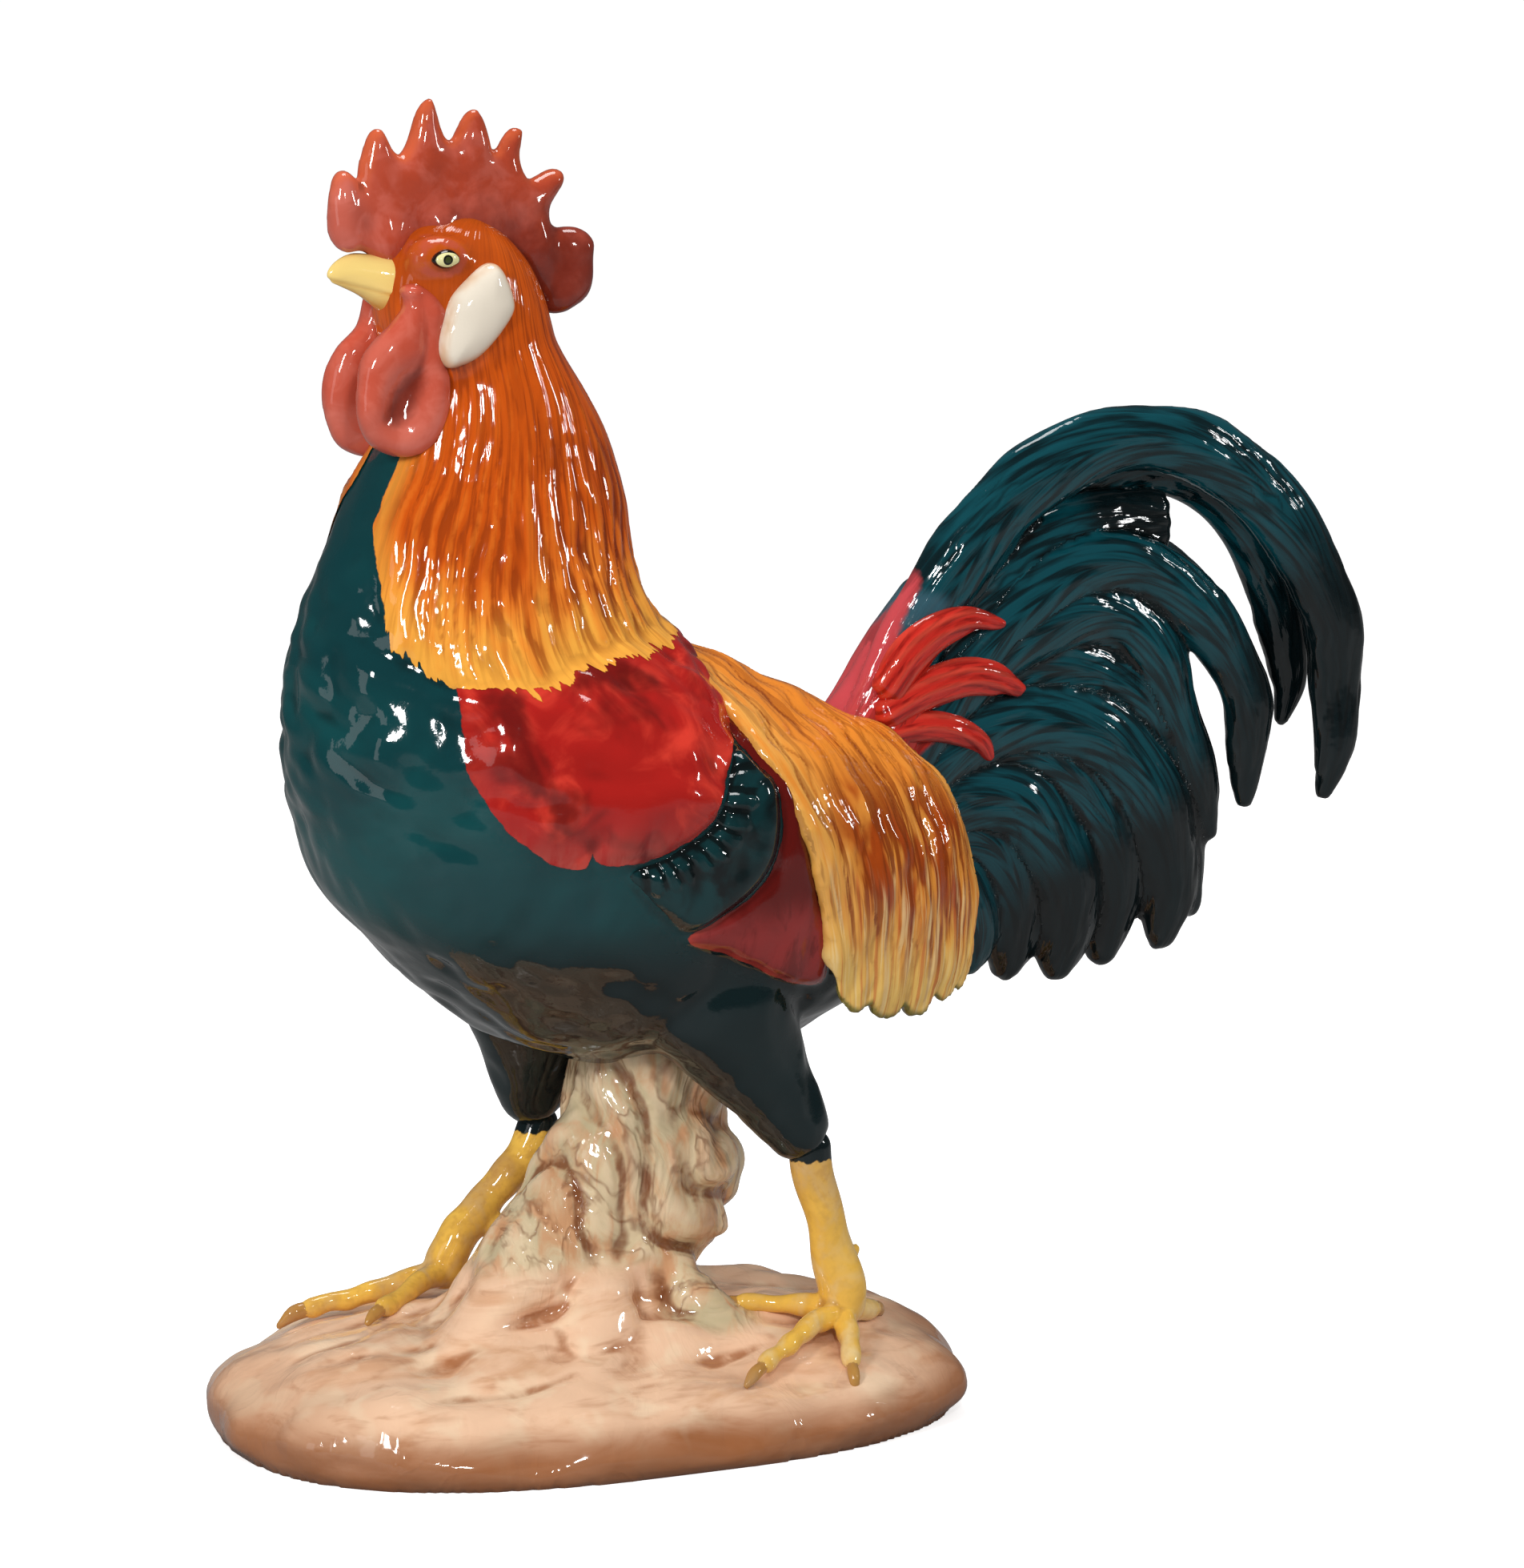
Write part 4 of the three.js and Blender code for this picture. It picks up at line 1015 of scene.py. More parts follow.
@dataclass(frozen=True)
class GroundGlaze(Finish):
    """Peach earth and a cream and grey-green stump, with brown in their folds as glaze pooling and
    painted shade, and cream on their ridges as a painted highlight.
    """

    peach: Colour = paint("f2c8a6")
    cream: Colour = paint("f7dab8")
    tan: Colour = paint("cf9468")
    rim: Colour = paint("96582f")
    # fold: the brown of the earth's folds, for glaze pooling and painted shade there
    fold: Colour = paint("7a4424")
    crease: Colour = paint("a8683e")
    stump: Colour = paint("dcc6a0")
    moss: Colour = paint("b2a682")
    end: Colour = paint("9c6644")

    def colour(self, bench: Bench) -> Wire:
        """The painted colour: earth and bark, with glaze pooling and painted shade in their folds
        and a painted highlight on their ridges.
        """
        wash = bench.cloud(10, bench.place((2.2, 1.5, 0.7)), detail=5.0, shift=0.7)
        low, stump = (bench.mark(name) + (wash - 0.5) * 0.5 for name in ("low", "stump"))
        bark = stump.step(0.2, 0.7)
        hollow = bench.mark("hollow")
        broken = bench.cloud(5, shift=0.5).step(0.3, 0.6)
        brown = bench.blend(bark, self.crease, self.fold)
        creases = self._creases(bench).step(0.55, 1.0) * stump.step(0.3, 0.8) * broken
        return bench.coats(
            self._earth(bench, wash, low),
            (bark, self._bark(bench)),
            # painted highlight: cream on the ridges
            ((0 - hollow).step(0.05, 0.3) * (1.0 - low.step(0.0, 0.4)) * 0.35, self.cream),
            # glaze pooling and painted shade in the folds
            (hollow.step(0.02, 0.24) * (0.25 + broken * 0.6), brown),
            (creases * 0.6, brown),
        )

    def _earth(self, bench: Bench, wash: Wire, low: Wire) -> Wire:
        """The mound's paint: peach, with tan washes, strokes and cream, browner at the edge."""
        strokes = bench.cloud(4.5, bench.place((3.0, 1.3, 0.5)), shift=0.4)
        pale = bench.cloud(9, detail=2.0, shift=0.4)
        return bench.coats(
            self.peach,
            (wash.step(0.48, 0.7) * 0.6, self.tan),
            (strokes.step(0.52, 0.74) * 0.4, self.crease),
            (pale.step(0.5, 0.68) * 0.7, self.cream),
            (low.step(0.2, 1.05) * 0.9, self.rim),
            (bench.mark("far") * 0.85, self.end),
        )

    def _bark(self, bench: Bench) -> Wire:
        """The stump's paint: cream, with patches of grey-green and tan."""
        patches = bench.cloud(16, bench.place((0.8, 1, 1.6)), shift=0.9)
        warm = bench.cloud(9, bench.place((0.6, 1, 1.7)), detail=5.0, shift=0.9)
        return bench.coats(
            self.stump,
            (patches.step(0.44, 0.66) * 0.6, self.moss),
            (warm.step(0.44, 0.66) * 0.85, self.tan),
        )

    def _creases(self, bench: Bench) -> Wire:
        """Thin winding ridges, 0 to 1, that run down the bark."""
        line = bench.cloud(15, bench.place((0.8, 1, 1.5)), shift=1.4)
        return 1.0 - ((line - 0.5).size() / 0.09).least(1.0)

    def height(self, bench: Bench) -> Wire:
        """The fine relief, 0 to 1: orange peel, with the bark's ridges on the stump."""
        peel = bench.cloud(6, detail=2.0)
        return peel * 0.5 + self._creases(bench) * (bench.mark("stump") * 0.4 + 0.1)


@dataclass(frozen=True)
class LegGlaze(Finish):
    """Yellow ochre with painted brown shade, with brown claws and a ragged teal edge at the top."""

    yellow: Colour = paint("f2c052")
    pale: Colour = paint("f8dc9c")
    brown: Colour = paint("b27a38")
    claw: Colour = paint("a06e40")
    teal: Colour = paint("0b181a")

    def colour(self, bench: Bench) -> Wire:
        """The painted colour."""
        shade = bench.mark("shade")
        cloud = bench.cloud(7, bench.place((1, 1, 1.6)), shift=0.5)
        grain = bench.cloud(1.6, detail=2.0).step(0.45, 0.7) * shade
        feathers = bench.mark("top") + bench.drift(3.0, 2.4, detail=2.0)
        return bench.coats(
            self.yellow,
            (cloud.step(0.45, 0.7), self.pale),
            # painted shade: brown by the shade mark, with fine grain in it
            (shade * cloud.step(0.3, 0.62), self.brown),
            # glaze pooling and painted shade in the hollows
            (bench.mark("hollow").step(0.0, 0.16) * 0.8, self.brown),
            (grain * 0.5, self.brown),
            (feathers.step(-0.2, 0.2), self.teal),
            (bench.mark("claw").step(0.45, 1.0) * 0.75, self.claw),
        )


@dataclass(frozen=True)
class FleshGlaze(Finish):
    """Coral of comb and wattles: deep red in the hollows as painted shade and glaze pooling,
    orange-pink on thin edges, rose partly as a painted highlight.
    """

    coral: Colour = paint("b0442c")
    rose: Colour = paint("cc6a5a")
    flame: Colour = paint("cf5f36")
    deep: Colour = paint("6a2014")

    def colour(self, bench: Bench) -> Wire:
        """The painted colour."""
        mottle = bench.cloud(6, shift=0.6).step(0.4, 0.66)
        # pale: rose, partly pink paint and partly a painted highlight at the front of the comb
        pale = (mottle * 0.5 + bench.mark("pale") * 0.6).least(1.0)
        # deep: painted shade in the wattle's hollow, and darker towards the back of the comb
        dark = (bench.mark("deep") + bench.drift(0.4, 2.2, detail=2.0)).step(0.15, 0.95)
        return bench.coats(
            self.coral,
            (pale, self.rose),
            (bench.mark("edge").step(0.0, 1.0) * 0.7, self.flame),
            (dark * 0.85, self.deep),
            # glaze pooling and painted shade in the hollows
            (bench.mark("hollow").step(0.04, 0.3) * 0.6, self.deep),
        )


@dataclass(frozen=True)
class BeakGlaze(Finish):
    """Pale yellow with painted ochre shade on the lower beak, along the mouth and towards the face.
    """

    pale: Colour = paint("f2d27e")
    ochre: Colour = paint("d89a3a")

    def colour(self, bench: Bench) -> Wire:
        """The painted colour."""
        shade = bench.mark("shade") + bench.drift(0.6, 4, shift=0.5)
        return bench.blend(shade.step(0.15, 0.95) * 0.85, self.pale, self.ochre)


@dataclass(frozen=True)
class LobeGlaze(Finish):
    """Cream white, yellower towards its rim."""

    cream: Colour = paint("e6dbc9")
    warm: Colour = paint("cfa070")

    def colour(self, bench: Bench) -> Wire:
        """The painted colour."""
        rim = 1.0 - bench.mark("depth").step(0.0, 0.55)
        warm = rim * bench.cloud(6, detail=2.0).step(0.3, 0.6) * 0.75
        return bench.blend(warm, self.cream, self.warm)


@dataclass(frozen=True)
class EyeGlaze(Finish):
    """A painted eye: black outline, pale yellow iris, dark ring and olive pupil."""

    iris: Colour = paint("e4dea2")
    black: Colour = paint("14110d")
    pupil: Colour = paint("3c431f")

    def colour(self, bench: Bench) -> Wire:
        """The painted colour."""
        middle = bench.mark("middle")
        return bench.coats(
            self.iris,
            (bench.mark("out").step(0.74, 0.8), self.black),
            (1.0 - middle.step(1.02, 1.16), self.black),
            (1.0 - middle.step(0.62, 0.78), self.pupil),
        )


@dataclass(frozen=True)
class CovertGlaze(Finish):
    """Scarlet of the small tail coverts, deeper between the strokes, with a painted highlight on
    ridges and painted shade in hollows.
    """

    scarlet: Colour = paint("c62a20")
    crimson: Colour = paint("8e1610")
    light: Colour = paint("dc5540")

    def colour(self, bench: Bench) -> Wire:
        """The painted colour."""
        hollow = bench.mark("hollow")
        return bench.coats(
            self.scarlet,
            (self._strokes(bench).step(0.42, 0.62), self.crimson),
            # painted highlight on the ridges
            ((0 - hollow).step(0.0, 0.15) * 0.5, self.light),
            # glaze pooling and painted shade in the hollows
            (hollow.step(0.0, 0.15) * 0.8, self.crimson),
        )

    def _strokes(self, bench: Bench) -> Wire:
        """Noise in strokes along the feather."""
        where = bench.flat(bench.mark("across"), bench.mark("along") / 8.0)
        return bench.cloud(1.0, where, detail=3.0, shift=0.3)

    def height(self, bench: Bench) -> Wire:
        """The fine relief, 0 to 1: combed strokes and soft dents."""
        return self._strokes(bench) * 0.4 + bench.cloud(4, detail=2.0) * 0.6


# The bird's outlines: slices are height, front, back, half width and squareness, and the rest
# are side view points, x and z
TORSO: Rows = (
    (67, -4, 30, 8, 2.1), (70, -13, 40, 17, 2.2), (74, -21, 47, 24, 2.2), (81, -30, 57, 30, 2.3),
    (88, -38.3, 62, 34, 2.4), (100, -49, 64, 37.5, 2.4), (112, -54.2, 63, 38.5, 2.3),
    (120, -56.3, 56, 38, 2.2), (126, -57, 42, 36, 2.1), (131, -57.3, 30, 33.5, 2),
    (137, -56.8, 19.5, 30.5, 2), (143, -55.8, 13, 27.5, 2), (151, -53.1, 8.8, 24, 2),
    (160, -49.2, 6.2, 21, 2), (170, -44.8, 4.6, 18.5, 2), (180, -39.6, 2.4, 16, 2),
    (190, -35, -2.4, 13.8, 2), (196, -33, -6.2, 12.8, 2), (202, -31, -9.5, 11.5, 2),
)
HEAD: Rows = (
    (188, -33, -5, 11.5, 2), (194, -36.5, -6.5, 12.6, 2.1), (201, -39, -8.2, 12.8, 2.2),
    (207, -40, -9.8, 12.3, 2.2), (212, -39, -12, 10.8, 2.2), (216, -36.5, -16, 8, 2.1),
    (219, -32, -21, 3.4, 2),
)
BOW: Rows = (
    (-36.2, 131.8), (-36, 137), (-35, 141), (-21.7, 141), (-14.8, 144), (-7.7, 146), (6, 148),
    (14, 148), (20, 141), (17.5, 134.5), (15.8, 130), (11, 123.6), (8.6, 119.6), (6.3, 115.2),
    (1.6, 112.2), (-2.4, 110.1), (-9.3, 108.9), (-14.5, 109.3), (-15.9, 112), (-17, 108.5),
    (-22.3, 109.4), (-25.9, 112), (-30.5, 116), (-34.1, 121.6), (-36.1, 126.5),
)
BAR: Rows = (
    (14.2, 127.4), (17.1, 124.1), (19.3, 121), (20.2, 116.8), (20, 113.1), (19.3, 108.7),
    (17.4, 105.2), (13.3, 101.6), (8.9, 98.7), (3.1, 96.2), (-1.9, 99.6), (-7, 104.6),
    (-8.6, 107.3), (-2.4, 109.5), (1.6, 111.6), (6.8, 114.7), (9.1, 119.2), (11.5, 123.2),
)
BAY: Rows = (
    (2.6, 94.4), (8.4, 98.1), (13.8, 101), (18.2, 105), (20.2, 109.9), (20.9, 114.9),
    (20.2, 119.8), (17.4, 124.6), (15.4, 128.8), (17, 132), (19.4, 127.5), (23, 118.6),
    (25.6, 111.9), (27.1, 105.6), (29.1, 99.1), (31.2, 95.5), (32.5, 92.1), (32.3, 88.2),
    (32.1, 83.5), (26, 84.1), (17.9, 87.7), (10.5, 91),
)
EYE = (-32.0, 213.3)


def on_side(rows: Rows, side: Side) -> Rows:
    """Rows of a limb that is drawn for the right side, put on either side."""
    return [(x, side.value * y, *rest) for x, y, *rest in rows]


@dataclass(frozen=True)
class WingField:
    """A raised field of wing feathers: its outline, relief and paint."""

    part: str
    outline: Rows
    lift: float
    edge: tuple[float, float]
    proud: float
    finish: Finish
    slot: str
    folds: float = 0.0

    def raised(self, depth: Array, waves: Array) -> Array:
        """How far the field stands out, at depths in from its outline."""
        return self.lift * rise(depth, *self.edge) + self.folds * waves * rise(depth, 0, 2)


WING = (
    WingField("bay", BAY, 1.6, (-1.0, 2.0), 0.1, BayGlaze("bay_glaze"), "maroon_glaze", 0.25),
    WingField("bow", BOW, 3.4, (-3.5, 8.0), 0.14, WingGlaze("wing_glaze"), "crimson_glaze"),
    WingField("bar", BAR, 2.6, (-1.2, 2.4), 0.18, BarGlaze("bar_glaze", waviness=0.09),
              "teal_glaze"),
)


@dataclass
class Bird:
    """Body, neck, head and thighs as one skin, with the raised fields of feathers on it."""

    cell: float = 0.85
    neck_lift: float = 0.9
    neck_proud: float = 0.22
    flute: float = 0.58
    strand_angle: float = 0.17
    bow_middle: tuple[float, float] = (-10.0, 124.0)
    ridges: float = 6.8
    dark_below: float = 112.0
    bay_wiped_below: float = 108.0
    bow_wiped_below: float = 118.0
    rump: Rows = ((38, 0, 106, 17, 25), (52, 0, 105, 16, 21), (63, 0, 104, 13, 16))
    brow: Rows = ((-37, 6, 212, 3, 3), (-31, 8, 213.2, 4, 4), (-25, 8, 211, 3, 3))
    left_thigh: Rows = (
        (11, 20, 90, 20, 16), (22, 21.5, 70, 11, 10), (30, 22.4, 58, 7, 6.4),
        (34.5, 23, 50.4, 4.7, 4.5),
    )
    right_thigh: Rows = (
        (-4, 19, 84, 19, 15), (-1.8, 20.5, 67, 10.5, 9.6), (-1, 21.4, 57, 7, 6.4),
        (-1, 22, 49.8, 4.7, 4.5),
    )
    hem: Rows = (
        (-60, 141), (-41.1, 143.4), (-36.7, 139.9), (-31.8, 139), (-27.6, 138.2), (-23, 137.4),
        (-20.5, 138.4), (-18.4, 140), (-13.3, 142.2), (-10, 141.4), (-6, 143), (-0.6, 141.8),
        (2, 143.2), (6, 142.6), (11.4, 144.5), (20, 149), (60, 160),
    )
    bib: Rows = (
        (135, 33), (139, 30), (140, 25.4), (142, 23.5), (144.6, 21.6), (146.5, 19.4),
        (148.4, 17.8), (150.8, 16.3), (153.6, 14.9), (159, 11.8), (163, 9.9), (167, 8.1),
        (171, 7.4), (177, 7.2), (185, 5), (192, -6), (230, -6),
    )
    skin: Cast = field(init=False)

    def build(self) -> None:
        """Builds the skin, works its relief and sets out its painted fields."""
        clay = Clay()
        clay.slices(smooth(TORSO), TORSO[0][0], TORSO[-1][0], sides=110, rings=124)
        clay.slices(smooth(HEAD), HEAD[0][0], HEAD[-1][0], sides=70, rings=36)
        clay.limb(self.rump)
        for side, thigh in ((Side.LEFT, self.left_thigh), (Side.RIGHT, self.right_thigh)):
            clay.limb(on_side(thigh, side), sides=36)
            clay.limb(on_side(self.brow, side))
        self.skin = clay.fuse(self.cell, 8)
        self._relief()
        self._set_out()

    def _relief(self) -> None:
        """Raises the fields of feathers out of the skin."""
        skin, marks = self.skin, self.skin.marks
        places = skin.places
        x, y, z = places.T.copy()
        self._mark(x, y, z)
        wobble = Ripple(9, 5)(places * (1, 1, 0.3)) * 0.2 + Ripple(30, 15)(places) * 0.4
        waves = np.sin((x * 0.5 + z) / 2.6 + wobble)
        lift = self.neck_lift * rise(marks["neck"], -1.6, 1.8) * rise(196 - z, 0, 60)
        lift = lift + self.flute * self._strands(z, wobble)
        for part in WING:
            lift = np.maximum(lift, part.raised(marks[part.part], waves))
        dents = self._dents(z) * rise(160 - z, -40, 20)
        skin.push(lift + dents + Ripple(24, 3)(places) * 0.35)
        skin.relax(2)
        skin.find_hollows(9)

    def _mark(self, x: Array, y: Array, z: Array) -> None:
        """Marks how each place lies in the fields, the strands and the paint."""
        marks = self.skin.marks
        out = np.abs(y)
        for part in WING:
            marks[part.part] = Outline(part.outline).depth(x, z)
        hem = np.interp(x, *np.array(self.hem).T)
        bib = np.interp(z, *np.array(self.bib).T) - 4.5 * rise(z, 164, 176) * (y > 0)
        front, back = smooth(TORSO)(z)[:, :2].T
        middle = (front + back) / 2
        marks["neck"] = np.minimum(z - hem, np.where(x < middle, out - bib, 99.0))
        marks["fall"] = np.maximum(z - hem, 0)
        marks["strand"] = np.arctan2(out, x - middle) / self.strand_angle
        marks["eye"] = np.hypot((x - EYE[0]) / 1.3, z - EYE[1])
        away, up = x - self.bow_middle[0], z - self.bow_middle[1]
        marks["ridge"] = np.arctan2(up, away) * self.ridges
        marks["low"] = rise(self.dark_below - z, 0, 34)
        marks["wiped"] = np.where(marks["bay"] > -1, rise(self.bay_wiped_below - z, 0, 20),
                                  rise(self.bow_wiped_below - z, 0, 12))

    def _strands(self, z: Array, wobble: Array) -> Array:
        """The long strands of the neck, 0 to 1.5, which fade towards the head and the eye."""
        neck, strand, eye = (self.skin.marks[name] for name in ("neck", "strand", "eye"))
        strands = np.sin((strand + wobble) * math.pi) ** 2
        strands += 0.5 * np.sin((strand * 2.1 + wobble) * math.pi) ** 2
        strands *= rise(neck, -1, 4) * rise(212 - z, 0, 16) * rise(eye, 6, 14)
        return strands * (0.4 + 0.6 * rise(190 - z, 0, 22))

    def _dents(self, z: Array) -> Array:
        """The soft dents of the breast and the bow, in millimetres."""
        places, marks = self.skin.places, self.skin.marks
        feathered = rise(z, 104, 124) * rise(marks["neck"] * -1, -2, 3)
        feathered *= 1 - 0.6 * rise(z, 146, 160)
        dents = np.minimum(Ripple(7.5, 8)(places * (1, 1, 0.8)), 0.2) * 0.3
        dents += Ripple(8.5, 9)(places * (1, 1, 1.3)) * 0.36 * feathered
        return dents + Ripple(7.0, 10)(places) * 0.24 * rise(marks["bow"], 0, 4) * rise(z, 110, 118)

    def _set_out(self) -> None:
        """Makes the finished pieces."""
        skin, marks = self.skin, self.skin.marks
        for side in Side:
            other = np.where(skin.y * side.value > 0, 0.0, -99.0)
            for part in WING:
                node = f"wing_{part.part}_{side.word}"
                painted = skin.patch(marks[part.part] + other, part.proud)
                painted.set_out(f"{node}_field", part.finish, part.slot, [node])
        neck = skin.patch(marks["neck"], self.neck_proud)
        neck.set_out("neck_and_head", HackleGlaze("hackle_glaze"), "orange_glaze",
                     ["neck_hackle", "head"])
        skin.set_out("bird_body", BodyGlaze("body_glaze"), "teal_glaze",
                     ["body_shell", "thigh_left", "thigh_right"])


@dataclass
class Saddle:
    """The long feathers that hang from the back over the flanks, to a scalloped hem."""

    thick: float = 2.6
    cell: float = 0.7
    strands: float = 11.0
    lobes: float = 4.6
    lobe_depth: float = 3.4
    front_length: float = 86.0
    length_lost: float = 18.0
    guides: tuple[Rows, ...] = (
        ((11, 0, 148), (13.4, -12.8, 141), (16.2, -24, 134), (19.4, -34.5, 125.6),
         (24.2, -39, 114.6), (27.4, -39.4, 104), (30, -38, 93), (32.2, -36, 80)),
        ((19, 0, 142), (26, -12, 137.5), (31, -22, 131), (36, -31, 122.5), (39, -36.5, 112),
         (41, -38, 101), (41.8, -36.5, 89), (41.3, -34, 76)),
        ((28, 0, 136.7), (37, -11, 133), (43.5, -20, 127.5), (48, -28, 119), (50.2, -32.8, 109),
         (51.3, -34.5, 98), (51.2, -33.5, 87), (50.2, -31.5, 75)),
        ((38, 0, 131.4), (47, -10, 129), (53.5, -18, 124), (57.5, -24.5, 116.5), (59.5, -28.6, 107),
         (60.2, -30.5, 97), (59.8, -30.5, 87), (57.8, -30, 77)),
        ((49, 0, 127.2), (55, -9.5, 125.5), (60.5, -16.5, 121), (64, -21.5, 113.5),
         (65.5, -25, 104.5), (66, -26.8, 95), (65, -28, 87), (62.5, -28.5, 80)),
    )
    segments: tuple[int, int] = (90, 150)

    def build(self) -> None:
        """Drapes the sheet, combs it and sets it out."""
        clay = Clay("strand", "fall", "middle")
        across, along = self.segments
        made = bmesh.ops.create_grid(clay.mesh, x_segments=across, y_segments=along, size=1.0)
        verts = made["verts"]
        flat = np.array([vert.co[:2] for vert in verts])
        points, fall = self._drape((flat[:, 0] + 1) / 2, flat[:, 1])
        for vert, point, (u, _), left in zip(verts, points, flat, fall):
            vert.co = point
            vert[clay.layers["strand"]] = (u + 1) / 2 * self.strands
            vert[clay.layers["fall"]] = left
            vert[clay.layers["middle"]] = 1 - 0.7 * abs(u)
        bmesh.ops.recalc_face_normals(clay.mesh, faces=clay.mesh.faces[:])
        bmesh.ops.solidify(clay.mesh, geom=clay.mesh.faces[:], thickness=self.thick)
        bmesh.ops.recalc_face_normals(clay.mesh, faces=clay.mesh.faces[:])
        sheet = clay.fuse(self.cell, 5)
        strand = sheet.marks["strand"]
        wobble = Ripple(10, 71)(sheet.places) * 0.35
        combed = (0.2 * np.sin((strand * 1.6 + wobble) * math.pi)
                  + 0.13 * np.sin((strand * 5.2 + wobble * 2) * math.pi))
        sheet.push(combed + Ripple(16, 72)(sheet.places) * 0.35)
        sheet.relax(1)
        sheet.find_hollows(7)
        sheet.set_out("saddle_feathers", SaddleGlaze("saddle_glaze"), "gold_glaze",
                      ["saddle_hackle"])

    def _drape(self, share: Array, over: Array) -> tuple[Array, Array]:
        """The sheet's points, from its front edge to its rear one and from hem to hem.

        Args:
            share: From the front edge, 0, to the rear edge, 1.
            over: From the left hem, -1, over the back, 0, to the right hem, 1.

        Returns:
            The points and how far above the hem each lies.
        """
        table = np.array(self.guides, float)
        places = np.linspace(0, 1, len(table))
        across = smooth(np.column_stack([places, table.reshape(len(table), -1)]))(share)
        across = across.reshape(len(share), -1, 3)
        stations = np.linspace(0, 1, table.shape[1])
        points = np.empty((len(share), 3))
        down = np.abs(over)
        for index, line in enumerate(across):
            run = smooth(np.column_stack([stations, line]))
            points[index] = run(down[index:index + 1])[0]
        scallop = 1 - np.abs(np.sin(share * self.lobes * math.pi)) ** 0.7
        hem = rise(down, 0.9, 1.0) * (1 - rise(share, 0.8, 0.92))
        points[:, 2] += scallop * self.lobe_depth * hem
        points[:, 1] *= -np.sign(over)
        return points, (1 - down) * (self.front_length - self.length_lost * share)


COMB: Rows = (
    (-45.8, 214.2), (-47.9, 217.2), (-48.7, 220.5), (-48.7, 224.1), (-47.8, 227.3), (-45.9, 228.2),
    (-44.4, 227), (-43.1, 225.3), (-42.1, 229.9), (-40.8, 234), (-39.1, 235.4), (-37.6, 234.1),
    (-36.1, 231.3), (-35, 230.8), (-33.4, 233.3), (-31.3, 238.3), (-29.3, 240.7), (-27.8, 238.7),
    (-26.9, 235), (-25.8, 233.3), (-24.4, 234.9), (-22.3, 238.3), (-20.3, 239.4), (-19.1, 237.5),
    (-18.6, 233.8), (-17.6, 231), (-16.1, 233.1), (-13.8, 234.8), (-12, 234.6), (-11.9, 232.3),
    (-12.3, 229), (-11.3, 225.8), (-8.8, 226.6), (-5.7, 227.1), (-4.2, 226), (-5.2, 223.3),
    (-6.3, 220.5), (-6, 218), (-3.2, 217.2), (-0.2, 216.1), (1.6, 214.7), (1.1, 211.4),
    (0.6, 207.7), (-0.7, 204.5), (-3.3, 202.7), (-6.4, 202.5), (-8.7, 202.9), (-10.9, 206.7),
    (-13.4, 209), (-18.5, 210), (-25.5, 210.4), (-31.6, 210.3), (-36.1, 211.2), (-41.5, 213.4),
)
NEAR_WATTLE: Rows = (
    (-36.4, 209), (-38.7, 207.9), (-38.2, 205.6), (-40.5, 202.5), (-44, 199), (-46.5, 195.4),
    (-47.5, 190.9), (-47.1, 186.3), (-45.1, 182.1), (-42.2, 179.6), (-38.7, 178.8),
    (-35.2, 179.8), (-32.2, 182.4), (-30.4, 186.5), (-30.1, 191.5), (-31.1, 194.8),
    (-31.5, 198.5), (-30.3, 204), (-31.5, 205.8), (-34, 207.8),
)
WATTLE_HOLLOW: Rows = (
    (-35.8, 206.6), (-35.6, 201.6), (-36.2, 196.6), (-39.9, 193.5), (-43.4, 189.1),
    (-44.2, 185), (-40.5, 183.4), (-36.5, 186.9), (-34.5, 191.9), (-34.9, 196.5),
)
FAR_WATTLE: Rows = (
    (-37.6, 206.2), (-39.9, 200.6), (-43.5, 196.6), (-46, 192.5), (-46.7, 188.3), (-46.1, 184.1),
    (-44.1, 180.3), (-41.2, 178.1), (-38.2, 177.2), (-34.6, 178.1), (-31.2, 181.4),
    (-29.4, 186.5), (-29.5, 193), (-30.5, 200), (-31, 206),
)
LOBE: Rows = (
    (-22.2, 212.2), (-20.5, 210.3), (-19, 206.6), (-19, 203.4), (-22.3, 198.9), (-25.8, 195.8),
    (-29.3, 194.4), (-31.3, 194.2), (-32.8, 196.1), (-33, 198.9), (-32.2, 202.1),
    (-30.7, 206.6), (-27.2, 210.1), (-24.2, 212.1),
)
BEAK: Rows = (
    (-48.6, 209), (-49.1, 210.7), (-47.4, 212.7), (-44.5, 213.9), (-41, 213.7), (-34, 213),
    (-29.5, 209), (-29, 201.5), (-31.5, 200.2), (-35.4, 200.8), (-39, 203), (-43.2, 206.2),
    (-46.8, 208),
)


